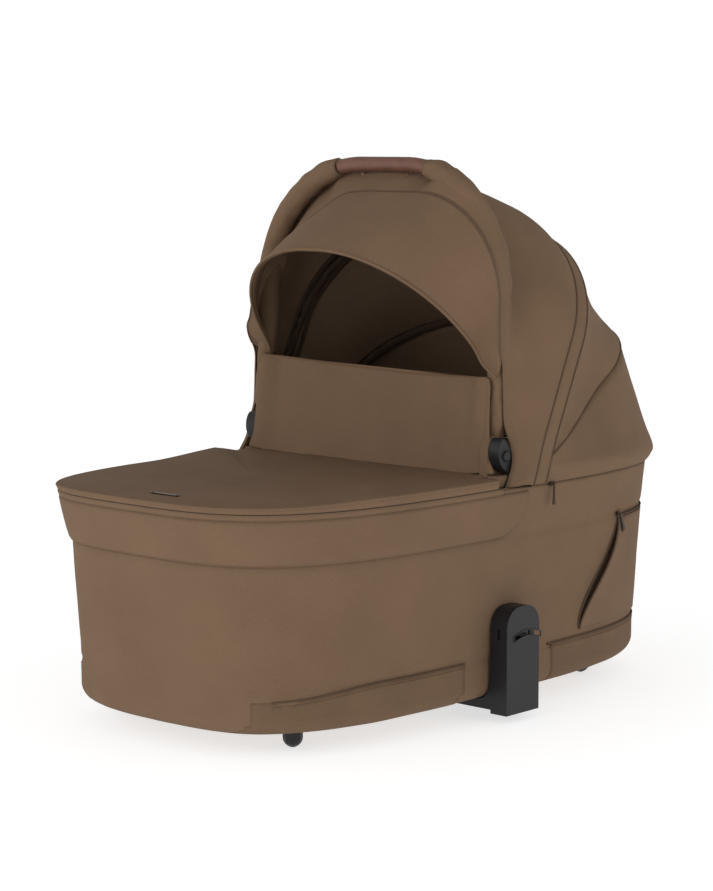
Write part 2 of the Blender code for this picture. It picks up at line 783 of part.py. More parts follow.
def rim_strip(name, start_y, end, heights, inset, thickness):
    """Thin upright strip that follows the rim from one side round an end to the other side."""
    outer = [plan_arc(start_y, inset, z, end) for z in heights]
    inner = [plan_arc(start_y, inset + thickness, z, end) for z in heights]
    return slab(name, outer, inner, lining())


def make_rim_trim():
    """Skirt band round the foot half, and the zips that join apron and hood to the rim."""
    outer, inner = [], []
    for row in range(BAND_ROWS + 1):
        line, under = [], []
        for turn in arc_turns(BAND_END_Y, "foot"):
            start = plan_point(turn, 0.0, BAND_TOP)
            rise = min(max((BAND_END_Y - start.y) / BAND_RISE, 0), 1)
            depth = BAND_TIP + (BAND_TOP - BAND_TIP - BAND_SEAM) * math.sqrt(1 - (1 - rise) ** 2)
            height = BAND_TOP - depth * row / BAND_ROWS
            wall = wall_inset(height) - GAP
            line.append(plan_point(turn, wall - BAND_THICK, height))
            under.append(plan_point(turn, wall, height))
        outer.append(line)
        inner.append(under)
    slab("skirt_band", outer, inner, cloth())
    rim_strip("apron_zip", ZIP_END_Y, "foot", (ZIP_TOP, BAND_TOP + GAP), RIM_INSET - GAP - ZIP_THICK,
              ZIP_THICK)
    rim_strip("hood_zip", HOOD_ZIP_START_Y, "head", (HOOD_SEAT - GAP, RIM_TOP + GAP), HOOD_ZIP_INSET,
              HOOD_ZIP_THICK)


def apron_outline(inset, height, rear_height=None):
    """Outline of the apron: round the foot end, then in to a tongue behind the windshield flap."""
    run = plan_arc(APRON_SIDE_END_Y - inset, inset, height, "foot")
    side, tongue = APRON_SIDE_END_Y - inset, APRON_TONGUE_HALF - inset
    rear = APRON_REAR_Y - inset
    rear_z = height if rear_height is None else rear_height
    corners = [(-tongue, side, height), (-tongue, rear, rear_z), (tongue, rear, rear_z),
               (tongue, side, height)]
    return run + [Vector(corner) for corner in corners]


def make_apron():
    """Foot cover with a beaded edge and a slight crown, and the flap on its rear edge."""
    edge, wall = RIM_INSET - GAP - ZIP_THICK, APRON_WALL
    roof = APRON_EDGE + APRON_BEAD_HEIGHT
    under = roof - APRON_SKIN
    welt = FLAP_AXIS_Z - FLAP_THICK / 2 - GAP
    top = apron_outline(edge + APRON_WALL, roof, welt)
    middle = sum(top, Vector()) / len(top)
    middle.z = roof
    crown = []
    for share in APRON_CROWN_SHARES:
        lift = Vector((0.0, 0.0, APRON_CROWN * (1 - share * share)))
        crown.append([middle + (point - middle) * share + lift for point in top])
    rings = [apron_outline(edge + wall, under), apron_outline(edge + wall, APRON_SEAT),
             apron_outline(edge, APRON_SEAT), apron_outline(edge, APRON_EDGE),
             apron_outline(edge - APRON_BEAD, APRON_EDGE + APRON_BEAD_HEIGHT / 2),
             apron_outline(edge, roof, welt - APRON_BEAD), top] + crown
    cover = loft("apron_cover", rings, cloth())
    carry([cover], "apron_slide_axis", (0.0, APRON_REAR_Y, APRON_SEAT))

    lean = math.radians(FLAP_LEAN_DEG)
    outer, inner = [], []
    heights = [-FLAP_HEM] + [FLAP_HEIGHT * row / FLAP_ROWS for row in range(FLAP_ROWS + 1)]
    for row, height in enumerate(heights):
        half = FLAP_HALF_LOW + (FLAP_HALF_HIGH - FLAP_HALF_LOW) * max(height, 0) / FLAP_HEIGHT
        for rows, sign in ((outer, -1), (inner, 1)):
            line = []
            for column in range(FLAP_COLUMNS + 1):
                x = half * (1 - 2 * column / FLAP_COLUMNS)
                edge = row in (0, FLAP_ROWS + 1) or column in (0, FLAP_COLUMNS)
                off = sign * (FLAP_THICK / 2 - (FLAP_SOFT if edge else 0.0))
                line.append((x, FLAP_AXIS_Y + height * math.sin(lean) + off * math.cos(lean),
                             FLAP_AXIS_Z + height * math.cos(lean) - off * math.sin(lean)))
            rows.append(line)
    flap = slab("apron_flap", outer, inner, cloth())
    carry([flap], "flap_axis", (0.0, FLAP_AXIS_Y, FLAP_AXIS_Z))


def make_feet():
    names = ("foot_front_left", "foot_front_right", "foot_rear_left", "foot_rear_right")
    for name, (x, y) in zip(names, foot_places()):
        seat = UNDERSIDE - GAP
        dome = [(FOOT_RADIUS + x, FOOT_RADIUS + z)
                for x, z in arc_points((-FOOT_RADIUS, 0.0), FOOT_RADIUS, -75, 0, 4)]
        dome = [(DOME_FLAT, 0.0)] + dome[1:]
        profile = dome + [(FOOT_RADIUS, seat - FLANGE_THICK), (FOOT_FLANGE, seat - FLANGE_THICK),
                          (FOOT_FLANGE, seat), (STEM_RADIUS, seat), (STEM_RADIUS, BOARD_Z - GAP)]
        turned(name, profile, (x, y, 0), (0, 0, 1), plastic(), SMALL_SIDES)


def adapter_housing(side):
    """Arched housing with an open socket below, swept into an arm under the tub."""
    name = side_name("adapter", side)
    low_y, high_y = ADAPTER_MIDDLE_Y - ADAPTER_WIDTH / 2, ADAPTER_MIDDLE_Y + ADAPTER_WIDTH / 2
    corner_z = ADAPTER_TOP - ADAPTER_CORNER
    front = arc_points((low_y + ADAPTER_CORNER, corner_z), ADAPTER_CORNER, 180, 90, 5)
    rear = arc_points((high_y - ADAPTER_CORNER, corner_z), ADAPTER_CORNER, 90, 0, 5)
    face = [(low_y, ADAPTER_BOTTOM)] + front + rear + [(high_y, ADAPTER_BOTTOM)]
    housing = prism(name, face, "X", side * ADAPTER_IN, side * ADAPTER_OUT, plastic())

    round_x, radius = HALF_WIDTH - EDGE_INSET, EDGE_ROUND + ARM_CLEARANCE
    sweep_in = arc_points((round_x, EDGE_Z), radius, 0, -90, 6)
    under = ARM_Z - ARM_PLATE
    profile = [(ADAPTER_IN + GAP, ARM_TOP)] + sweep_in + [
        (ARM_REACH, ARM_Z), (ARM_REACH, under), (ADAPTER_IN + GAP, under)]
    outline = [(side * x, z) for x, z in profile]
    arm_points = [(x, z) for x, z in outline]
    arm = prism(f"{name}_arm", arm_points, "Y", low_y, high_y, plastic())
    combine(housing, arm, "UNION")

    half = SOCKET_WIDTH / 2
    x0, x1 = sorted((side * SOCKET_IN, side * SOCKET_OUT))
    socket = block(f"{name}_socket", (x0, ADAPTER_MIDDLE_Y - half, ADAPTER_BOTTOM - OVERRUN),
                   (x1, ADAPTER_MIDDLE_Y + half, SOCKET_TOP), plastic())
    combine(housing, socket, "DIFFERENCE")

    slit_y = ADAPTER_MIDDLE_Y + SLIT_SHIFT
    steps, lens = 6, []
    for i in range(steps + 1):
        share = i / steps
        rise = SLIT_ARC * math.sin(math.pi * share)
        lens.append((slit_y - SLIT_WIDTH / 2 + SLIT_WIDTH * share, SLIT_HEIGHT_Z + rise + SLIT_OPENING / 2))
    lens += [(y, z - SLIT_OPENING) for y, z in reversed(lens)]
    x0, x1 = sorted((side * (SOCKET_OUT - GAP), side * (ADAPTER_OUT + OVERRUN)))
    slit = prism(f"{name}_slit", lens, "X", x0, x1, plastic())
    combine(housing, slit, "DIFFERENCE")

    bore = turned(f"{name}_bore", [(BOLT_RADIUS + GAP, 0.0), (BOLT_RADIUS + GAP, bolt_pocket())],
                  (side * (SOCKET_OUT - GAP), ADAPTER_MIDDLE_Y, BOLT_Z), (side, 0, 0), plastic(),
                  SMALL_SIDES)
    combine(housing, bore, "DIFFERENCE")

    middle_x = (ADAPTER_IN + ADAPTER_OUT) / 2
    x0, x1 = sorted((side * (middle_x - PORT_WIDTH / 2), side * (middle_x + PORT_WIDTH / 2)))
    port = block(f"{name}_port", (x0, low_y - OVERRUN, SLIT_HEIGHT_Z), (x1, low_y + PORT_DEPTH,
                 SLIT_HEIGHT_Z + PORT_HEIGHT), plastic())
    combine(housing, port, "DIFFERENCE")
    combine(housing, screw_holes(f"{name}_screw_holes"), "DIFFERENCE")
    return housing


def bolt_pocket():
    """Depth of the blind bore that the bolt draws back into."""
    return BOLT_LENGTH - BOLT_BITE + BOLT_TRAVEL + 2 * GAP


def side_name(name, side):
    return f"{name}_{'right' if side > 0 else 'left'}"


def make_adapter(side):
    """One adapter: housing, release lever, latch bolt and the lever's spring."""
    adapter_housing(side)
    gap = LEVER_CLEARANCE
    lever_top = LEVER_BOTTOM + LEVER_HEIGHT
    half = LEVER_WIDTH / 2
    x0, x1 = sorted((side * (SOCKET_IN + gap), side * (SOCKET_OUT - gap)))
    lever = block(side_name("release_lever", side),
                  (x0, ADAPTER_MIDDLE_Y - half, LEVER_BOTTOM),
                  (x1, ADAPTER_MIDDLE_Y + half, lever_top), grey_plastic())
    lip_z = SLIT_HEIGHT_Z - SLIT_OPENING / 2 + GAP
    lip_y = ADAPTER_MIDDLE_Y + SLIT_SHIFT / 2
    x0, x1 = sorted((side * (SOCKET_OUT - 2 * gap), side * (SOCKET_OUT + LEVER_LIP)))
    lip = block(side_name("release_lip", side), (x0, lip_y - LEVER_LIP_HALF, lip_z + SLIT_ARC),
                (x1, lip_y + LEVER_LIP_HALF, lip_z + SLIT_ARC + LEVER_LIP_THICK), plastic())
    combine(lever, lip, "UNION")
    carry([lever], side_name("lever_axis", side), (side * SOCKET_OUT, ADAPTER_MIDDLE_Y, LEVER_BOTTOM))

    start = SOCKET_OUT - BOLT_BITE
    bolt = turned(side_name("latch_bolt", side),
                  [(BOLT_RADIUS / 2, 0.0), (BOLT_RADIUS, BOLT_BITE / 2), (BOLT_RADIUS, BOLT_LENGTH)],
                  (side * start, ADAPTER_MIDDLE_Y, BOLT_Z), (side, 0, 0), steel(), SMALL_SIDES)
    carry([bolt], side_name("bolt_axis", side), (side * SOCKET_OUT, ADAPTER_MIDDLE_Y, BOLT_Z))

    middle_x = side * (SOCKET_IN + SOCKET_OUT) / 2
    low, high = lever_top + SPRING_WIRE + GAP, SOCKET_TOP - SPRING_WIRE - GAP
    rings, points = [], TUBE_SIDES * SPRING_TURNS
    for i in range(points + 1):
        turn = 2 * math.pi * i / TUBE_SIDES
        centre = Vector((middle_x, ADAPTER_MIDDLE_Y, low + (high - low) * i / points))
        out = Vector((math.cos(turn), math.sin(turn), 0.0))
        ring = []
        for k in range(4):
            angle = 2 * math.pi * k / 4
            ring.append(centre + out * (SPRING_RADIUS + SPRING_WIRE * math.cos(angle))
                        + Vector((0.0, 0.0, SPRING_WIRE * math.sin(angle))))
        rings.append(ring)
    loft(side_name("lever_spring", side), rings, steel())


def screw_places():
    return [(x * SCREW_X, ADAPTER_MIDDLE_Y + y * SCREW_SPACING / 2) for x in (-1, 1) for y in (-1, 1)]


def screw_profile(extra):
    """Shank profile of an arm screw, thicker by a clearance where it is used as a hole."""
    top = BOARD_Z + SCREW_BITE + extra
    radius = SCREW_RADIUS + extra
    return [(radius, ARM_Z - ARM_PLATE - (OVERRUN if extra else 0.0)), (radius, top)]


def screw_holes(name):
    """Helper solid: the four holes that the arm screws pass."""
    pins = [turned(f"{name}_{i}", screw_profile(GAP), (x, y, 0), (0, 0, 1), steel(), SMALL_SIDES)
            for i, (x, y) in enumerate(screw_places())]
    for other in pins[1:]:
        combine(pins[0], other, "UNION")
    return pins[0]


def make_arm_screws():
    """Screws through the adapters' arms and the tub's floor into the board."""
    names = ("arm_screw_left_front", "arm_screw_left_rear", "arm_screw_right_front", "arm_screw_right_rear")
    seat = ARM_Z - ARM_PLATE - GAP
    head = [(SCREW_HEAD_RADIUS - SCREW_HEAD / 2, seat - SCREW_HEAD),
            (SCREW_HEAD_RADIUS, seat - SCREW_HEAD / 2), (SCREW_HEAD_RADIUS, seat)]
    for name, (x, y) in zip(names, screw_places()):
        profile = head + [(SCREW_RADIUS, seat)] + screw_profile(0.0)[1:]
        turned(name, profile, (x, y, 0), (0, 0, 1), steel(), SMALL_SIDES)


def make_hinge(side):
    """Hinge of one side: bracket on the rim, pin, turning knob with its tube cup, and lock button."""
    y0, y1 = HINGE_Y - BRACKET_HALF, HINGE_Y + BRACKET_HALF
    seat = RIM_TOP + GAP
    crown = arc_points((HINGE_Y, HINGE_Z), BRACKET_ROUND, 10, 170, 8)
    outline = [(y0, seat), (y1, seat)] + crown
    inner, outer = BRACKET_OUT - BRACKET_THICK, BRACKET_OUT
    bracket = prism(side_name("hinge_bracket", side), outline, "X", side * inner, side * outer, plastic())
    x0, x1 = sorted((side * (outer - GAP), side * BRACKET_FLANGE_OUT))
    flange = block(side_name("hinge_flange", side), (x0, y0, seat), (x1, y1, seat + BRACKET_FLANGE),
                   plastic())
    combine(bracket, flange, "UNION")
    hole = turned(side_name("bracket_hole", side), [(PIN_RADIUS + GAP, 0.0), (PIN_RADIUS + GAP,
                  BRACKET_THICK + 2 * OVERRUN)], (side * (inner - OVERRUN), HINGE_Y, HINGE_Z),
                  (side, 0, 0), plastic(), SMALL_SIDES)
    combine(bracket, hole, "DIFFERENCE")

    knob_in, knob_out = BRACKET_OUT + GAP, BRACKET_OUT + GAP + KNOB_THICK
    axis = (side, 0, 0)
    knob = turned(side_name("hinge_knob", side),
                  [(KNOB_RADIUS, 0.0), (KNOB_RADIUS, KNOB_THICK - KNOB_CROWN),
                   (KNOB_RADIUS - KNOB_CROWN, KNOB_THICK)],
                  (side * knob_in, HINGE_Y, HINGE_Z), axis, plastic(), ROUND_SIDES + 4)
    lean = math.radians(HANDLE_LEAN_DEG)
    up = Vector((0.0, math.sin(lean), math.cos(lean)))
    across = Vector((0.0, math.cos(lean), -math.sin(lean)))
    centre = Vector((0.0, HINGE_Y, HINGE_Z))
    neck_rings = []
    for x in (knob_in, knob_in + KNOB_THICK / 2):
        corners = ((-1, NECK_LOW), (1, NECK_LOW), (1, NECK_HIGH), (-1, NECK_HIGH))
        neck_rings.append([centre + up * w + across * (v * NECK_WIDTH / 2) + Vector((side * x, 0.0, 0.0))
                           for v, w in corners])
    neck = loft(side_name("knob_neck", side), neck_rings, plastic())
    combine(knob, neck, "UNION")
    cup_base = centre + up * CUP_LOW + Vector((side * HANDLE_HALF_LOW, 0.0, 0.0))
    cup_length = CUP_HIGH - CUP_LOW
    cup = turned(side_name("knob_cup", side), [(CUP_RADIUS, 0.0), (CUP_RADIUS, cup_length)], cup_base,
                 up, plastic(), SMALL_SIDES)
    combine(knob, cup, "UNION")
    wall = CUP_RADIUS - HANDLE_RADIUS
    well = turned(side_name("knob_well", side), [(HANDLE_RADIUS + GAP, wall), (HANDLE_RADIUS + GAP,
                  cup_length + OVERRUN)], cup_base, up, plastic(), SMALL_SIDES)
    combine(knob, well, "DIFFERENCE")
    pin_end = knob_out - BUTTON_POCKET - 3 * GAP
    bore = turned(side_name("knob_bore", side), [(PIN_RADIUS + GAP, -OVERRUN), (PIN_RADIUS + GAP,
                  pin_end - knob_in + GAP)], (side * knob_in, HINGE_Y, HINGE_Z), axis, plastic(),
                  SMALL_SIDES)
    combine(knob, bore, "DIFFERENCE")
    pocket = turned(side_name("knob_pocket", side), [(BUTTON_RADIUS + GAP, 0.0), (BUTTON_RADIUS + GAP,
                    BUTTON_POCKET + OVERRUN)], (side * (knob_out - BUTTON_POCKET), HINGE_Y, HINGE_Z),
                    axis, plastic(), ROUND_SIDES)
    combine(knob, pocket, "DIFFERENCE")

    pin_start = inner - GAP - PIN_HEAD
    turned(side_name("hinge_pin", side), [(PIN_HEAD_RADIUS, 0.0), (PIN_HEAD_RADIUS, PIN_HEAD),
           (PIN_RADIUS, PIN_HEAD), (PIN_RADIUS, pin_end - pin_start)],
           (side * pin_start, HINGE_Y, HINGE_Z), axis, steel(), SMALL_SIDES)
    start = knob_out + BUTTON_PROUD - BUTTON_LENGTH
    button = turned(side_name("lock_button", side), [(BUTTON_RADIUS, 0.0), (BUTTON_RADIUS,
                    BUTTON_LENGTH - BUTTON_CHAMFER), (BUTTON_RADIUS - BUTTON_CHAMFER, BUTTON_LENGTH)],
                    (side * start, HINGE_Y, HINGE_Z), axis, grey_plastic())
    carry([button], side_name("button_axis", side), (side * knob_out, HINGE_Y, HINGE_Z))
    return knob


def handle_path():
    """Middle line of the handle tube in five joined runs: leg, sleeve, grip, sleeve, leg."""
    lean = math.radians(HANDLE_LEAN_DEG)
    start = CUP_LOW + CUP_RADIUS - HANDLE_RADIUS + GAP
    line = [Vector((x, HINGE_Y + rise * math.sin(lean), HINGE_Z + rise * math.cos(lean)))
            for x, rise in arch_flat(HANDLE_HEIGHT, HANDLE_HALF_LOW, HANDLE_HALF_HIGH, HANDLE_CORNER,
                                     HANDLE_TAPER, CUP_HIGH) if rise >= start]
    right = [point for point in line if point.x > 0]
    cup_top = HINGE_Z + CUP_HIGH * math.cos(lean)
    leg = [point for point in right if cup_top < point.z < SLEEVE_START_Z]
    sleeve = [point for point in right if point.z >= SLEEVE_START_Z and point.x > GRIP_HALF + SLEEVE_GAP]
    grip = [point for point in right if point.x <= GRIP_HALF]
    grip += [Vector((-point.x, point.y, point.z)) for point in reversed(grip)]
    runs = [[line[0], *resample(leg, LEG_RINGS)], resample(sleeve, SLEEVE_RINGS), resample(grip, GRIP_RINGS)]
    runs = [[Vector(point) for point in run] for run in runs]
    for run in (runs[1], runs[0]):
        runs.append([Vector((-point.x, point.y, point.z)) for point in reversed(run)])
    return runs


def sleeve_section(lower_first):
    """Section along a sleeve: slim on the leg, full on the shoulder, drawn in at the grip."""
    def at(share):
        up = share if lower_first else 1 - share
        swell = smooth((up - SLEEVE_SLIM_SHARE) / SLEEVE_SWELL_SHARE)
        swell = min(swell, math.sqrt(min((1 - up) / SLEEVE_END_SHARE, 1)))
        swell = SLEEVE_NECK_SHARE + (1 - SLEEVE_NECK_SHARE) * swell
        wide = SLEEVE_ROUND * swell
        return round_section(wide, SLEEVE_DEEP * swell, HANDLE_SIDES,
                             wide - HANDLE_RADIUS - GAP - SLEEVE_WALL)(share)
    return at


def make_handle():
    """Carry handle: bent tube, leather grip at the crown and a padded sleeve on each shoulder."""
    normal = arch_normal(HANDLE_LEAN_DEG)
    runs = handle_path()
    path = [point for run in runs for point in run]
    tube = loft("handle_tube", sweep(path, normal, round_section(HANDLE_RADIUS, sides=HANDLE_SIDES)),
                steel())
    bore = round_section(HANDLE_RADIUS + GAP, sides=HANDLE_SIDES)
    skin = round_section(HANDLE_RADIUS + GAP + GRIP_THICK, sides=HANDLE_SIDES)
    rings = sweep(runs[2], normal, skin) + sweep(runs[2], normal, bore)[::-1]
    grip = loft("handle_grip", rings, finish("leather", LEATHER_BROWN, 0.5), True)
    pieces = [tube, grip]
    for run, side in ((runs[1], 1), (runs[3], -1)):
        outside = sweep(run, normal, sleeve_section(side > 0))
        rings = outside + sweep(run, normal, bore)[::-1]
        pieces.append(loft(side_name("handle_sleeve", side), rings, cloth(), True))
    return pieces


def bow(name, pivot, lean_deg, height, half_low, half_high, corner, taper):
    """Flat bow with a round hole at each foot, turning on studs of the bow plates."""
    path = arch(pivot, lean_deg, height, half_low, half_high, corner, taper)
    lean = math.radians(lean_deg)
    foot = Vector((0.0, math.sin(lean), math.cos(lean))) * BOW_END
    path = [path[0] - foot] + path + [path[-1] - foot]
    item = loft(name, sweep(path, arch_normal(lean_deg), strip_section(BOW_THICK, BOW_WIDTH)), plastic())
    reach = half_low + OVERRUN
    hole = turned(f"{name}_holes", [(STUD_RADIUS + STUD_CLEARANCE, 0.0),
                  (STUD_RADIUS + STUD_CLEARANCE, 2 * reach)], (-reach, *pivot), (1, 0, 0), plastic(),
                  SMALL_SIDES)
    return combine(item, hole, "DIFFERENCE")


def make_bows():
    """Middle and rear bows, and the plates with studs that carry them on the rim."""
    middle = bow("middle_bow", (MID_PIVOT_Y, MID_PIVOT_Z), MID_LEAN_DEG, MID_HEIGHT, MID_HALF, MID_HALF,
                 SEAM_CORNER, SEAM_TAPER)
    carry([middle], "middle_bow_axis", (0.0, MID_PIVOT_Y, MID_PIVOT_Z))
    rear = bow("rear_bow", (REAR_PIVOT_Y, REAR_PIVOT_Z), REAR_BOW_LEAN_DEG, REAR_BOW_HEIGHT,
               REAR_BOW_HALF_LOW, REAR_BOW_HALF_HIGH, REAR_CORNER, REAR_TAPER)
    carry([rear], "rear_bow_axis", (0.0, REAR_PIVOT_Y, REAR_PIVOT_Z))
    for side in (-1, 1):
        seat = RIM_TOP + GAP
        mid = arc_points((MID_PIVOT_Y, MID_PIVOT_Z), PLATE_ROUND, 170, 90, 4)
        far = arc_points((REAR_PIVOT_Y, REAR_PIVOT_Z), PLATE_ROUND, 90, 10, 4)
        outline = [(PLATE_END_Y, seat), (PLATE_START_Y, seat)] + mid + far
        plate = prism(side_name("bow_plate", side), outline, "X", side * (PLATE_OUT - PLATE_THICK),
                      side * PLATE_OUT, plastic())
        mid_stud = turned(side_name("mid_stud", side), [(STUD_RADIUS, 0.0),
                          (STUD_RADIUS, PLATE_THICK / 2 + BOW_THICK + 2 * GAP)],
                          (side * (PLATE_OUT - PLATE_THICK / 2), MID_PIVOT_Y, MID_PIVOT_Z),
                          (side, 0, 0), plastic(), SMALL_SIDES)
        rear_stud = turned(side_name("rear_stud", side), [(STUD_RADIUS, 0.0),
                           (STUD_RADIUS, PLATE_THICK / 2 + BOW_THICK + 2 * GAP)],
                           (side * (PLATE_OUT - PLATE_THICK / 2), REAR_PIVOT_Y, REAR_PIVOT_Z),
                           (-side, 0, 0), plastic(), SMALL_SIDES)
        combine(plate, mid_stud, "UNION")
        combine(plate, rear_stud, "UNION")


def make_hood_fabric():
    """Hood cover: front panel, band over the middle bow, rear panel and the panel down to the rim."""
    front = fabric_panel("hood_front_panel", front_edge,
                         lambda inset=0.0: seam_a_arch(inset, FRONT_POINTS), 3, cloth())
    fabric_panel("hood_band", seam_a_arch, seam_b_arch, 1, cloth())
    fabric_panel("hood_rear_panel", seam_b_upper, rear_arch, 3, cloth())

    outer, inner = [], []
    slope = math.tan(math.radians(SEAM_B_LEAN_DEG))
    front_y = SEAM_B_FOOT_Y + 2 * PANEL_EDGE
    for rows, inset in ((outer, 0.0), (inner, FABRIC)):
        start = rear_arch(inset)
        run = plan_arc(front_y, HOOD_ZIP_INSET + inset, HOOD_SEAT, "head")
        lower = [Vector(point) for point in resample(run, ARCH_POINTS)]
        belly = []
        for i, point in enumerate(lower):
            swell = min(BULGE_RISE_SHARE * math.sin(math.pi * i / (ARCH_POINTS - 1)), 1)
            out = Vector((point.x, point.y - TUB_MIDDLE_Y, 0.0)).normalized()
            rise = (HOOD_BULGE_Z - HOOD_SEAT) * (1 + swell) / 2
            back = Vector((0.0, rise * slope * (1 - swell), rise))
            belly.append(point + out * (HOOD_ZIP_INSET + HOOD_BULGE) * swell + back)
        upper = []
        for a, b in zip(start, belly):
            upper.append(a.lerp(b, 2 * PANEL_EDGE / (b - a).length))
        rows += [upper, between(start, belly, 0.5), belly, lower]
    slab("hood_lower_panel", outer, inner, cloth())
    return front


def visor_flat(inset=0.0):
    return arch_flat(VISOR_LENGTH, VISOR_HALF_LOW, VISOR_HALF_HIGH, VISOR_CORNER, VISOR_TAPER, 0.0, inset)


def visor_line(inset, start_z=0.0):
    """Arch of the visor's front edge above a height."""
    lean = math.radians(VISOR_LEAN_DEG)
    points = [Vector((x, VISOR_AXIS_Y + rise * math.sin(lean), VISOR_AXIS_Z + rise * math.cos(lean)))
              for x, rise in visor_flat(inset)]
    return [Vector(point) for point in resample([p for p in points if p.z >= start_z], ARCH_POINTS)]


def make_visor():
    """Visor: bent wire that turns on its outward pins, and the fabric from it back to the hood."""
    edge = visor_line(VISOR_HEM)
    pin = Vector((VISOR_PIN_REACH, 0.0, 0.0))
    path = [edge[0] + pin] + edge + [edge[-1] - pin]
    wire = loft("visor_wire", sweep(path, arch_normal(VISOR_LEAN_DEG),
                round_section(VISOR_WIRE / 2, sides=TUBE_SIDES)), steel())
    over = Vector(arch_normal(VISOR_LEAN_DEG)) * VISOR_EDGE_OVER
    outer, inner = [], []
    for rows, inset in ((outer, 0.0), (inner, FABRIC)):
        front = visor_line(inset, VISOR_START_Z)
        seam = [point for point in front_line(inset) if point.z >= VISOR_START_Z]
        seam = [Vector(point) - Vector((0.0, SLEEVE_DEEP + PANEL_EDGE, 0.0))
                for point in resample(seam, ARCH_POINTS)]
        rows += [seam, between(seam, front, 0.5), front, [point + over for point in front]]
    cover = slab("visor_fabric", outer, inner, cloth())
    carry([wire, cover], "visor_axis", (0.0, VISOR_AXIS_Y, VISOR_AXIS_Z))


def zip_pull(name, y, z, inset, slant=0.0):
    """Slider on the wall with a hanging pull, on the right side of the tub."""
    x = plan_x(y, inset, z)
    ahead = plan_x(y + SLIDER_LENGTH, inset, z) - plan_x(y - SLIDER_LENGTH, inset, z)
    along = Vector((ahead, 2 * SLIDER_LENGTH, 0.0)).normalized()
    out = Vector((along.y, -along.x, 0.0))
    up = Vector((0.0, 0.0, 1.0))
    origin = Vector((x, y, z)) + out * GAP
    a, w, t = SLIDER_LENGTH / 2, SLIDER_WIDTH / 2, SLIDER_THICK
    nose = w * SLIDER_NOSE_SHARE
    foot = [(-a, -nose), (a, -w), (a, w), (-a, nose)]
    rings = [[origin + along * u + up * v + out * d for u, v in foot] for d in (0.0, t)]
    slider = loft(f"{name}_slider", rings, bronze())
    carry([slider], f"{name}_slider_axis", origin)

    hang = origin + out * (t + GAP)
    drop = (along * math.sin(slant) - up * math.cos(slant)).normalized()
    side = drop.cross(out).normalized()
    wide = [side * (PULL_WIDE / 2) + drop * (PULL_LENGTH * share) for share in (PULL_WIDEN_SHARE, 1.0)]
    far = [drop * PULL_LENGTH * share - side * (PULL_WIDE / 2) for share in (1.0, PULL_WIDEN_SHARE)]
    head = along * (PULL_NARROW / 2)
    outline = [-head, *wide, *far, head]
    rings = [[hang + corner + out * d for corner in outline] for d in (0.0, PULL_THICK)]
    pull = loft(f"{name}_pull", rings, bronze())
    carry([pull], f"{name}_pull_axis", hang)


def make_vent():
    """Vent flap round the head end, its open edge curving down the right side."""
    outer, inner = [], []
    step = 2 * math.pi / PLAN_POINTS
    last = math.pi - plan_turn(VENT_LEFT_Y)
    for row in range(VENT_ROWS + 1):
        share = row / VENT_ROWS
        height = VENT_LOW + (VENT_HIGH - VENT_LOW) * share
        first_y = VENT_LOW_Y + (VENT_HIGH_Y - VENT_LOW_Y) * smooth(share)
        first = plan_turn(first_y, wall_inset(height), height)
        meeting = step * math.ceil(plan_turn(VENT_HIGH_Y) / step + 1)
        turns = [first + (meeting - first) * i / VENT_LIP_STEPS for i in range(VENT_LIP_STEPS)]
        ring_turns = [k * step for k in range(PLAN_POINTS) if meeting - step / 4 < k * step < last]
        lip = len(turns)
        line, under = [], []
        for i, turn in enumerate(turns + ring_turns):
            lift = VENT_BULGE * smooth(1 - i / lip) * math.sin(math.pi * share)
            lift += VENT_LIP_CLEARANCE * (i < lip)
            inset = wall_inset(height) - VENT_OFF - lift
            under.append(plan_point(turn, inset, height))
            line.append(plan_point(turn, inset - VENT_THICK, height))
        outer.append(line)
        inner.append(under)
    slab("vent_flap", outer, inner, cloth())


def main():
    """Builds every piece of the carrycot."""
    for item in list(bpy.data.objects):
        bpy.data.objects.remove(item, do_unlink=True)
    make_tub()
    make_base_panel()
    make_inside()
    make_rim_trim()
    make_feet()
    make_apron()
    for side in (-1, 1):
        make_adapter(side)
    make_arm_screws()
    knobs = [make_hinge(side) for side in (-1, 1)]
    front = make_hood_fabric()
    carry(knobs + make_handle() + [front], "hood_axis", (0.0, HINGE_Y, HINGE_Z))
    make_bows()
    make_visor()
    make_vent()
    zip_pull("hood_zip", HOOD_SLIDER_Y, HOOD_SLIDER_Z, HOOD_ZIP_INSET)
    zip_pull("vent_zip", VENT_SLIDER_Y, VENT_SLIDER_Z, wall_inset(VENT_SLIDER_Z),
             math.radians(VENT_PULL_SLANT_DEG))


main()
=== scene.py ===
"""Carrycot: soft tub, hood with carry handle, apron, zips and adapters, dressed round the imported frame.

Lengths are in metres. Width runs along X, the foot end points to -Y, the head end to +Y, Z is up.
"""

from __future__ import annotations

import json
import logging
import math
from dataclasses import dataclass, field
from enum import Enum
from typing import Sequence

import bmesh
import bpy
import numpy as np
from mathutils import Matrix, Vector, noise

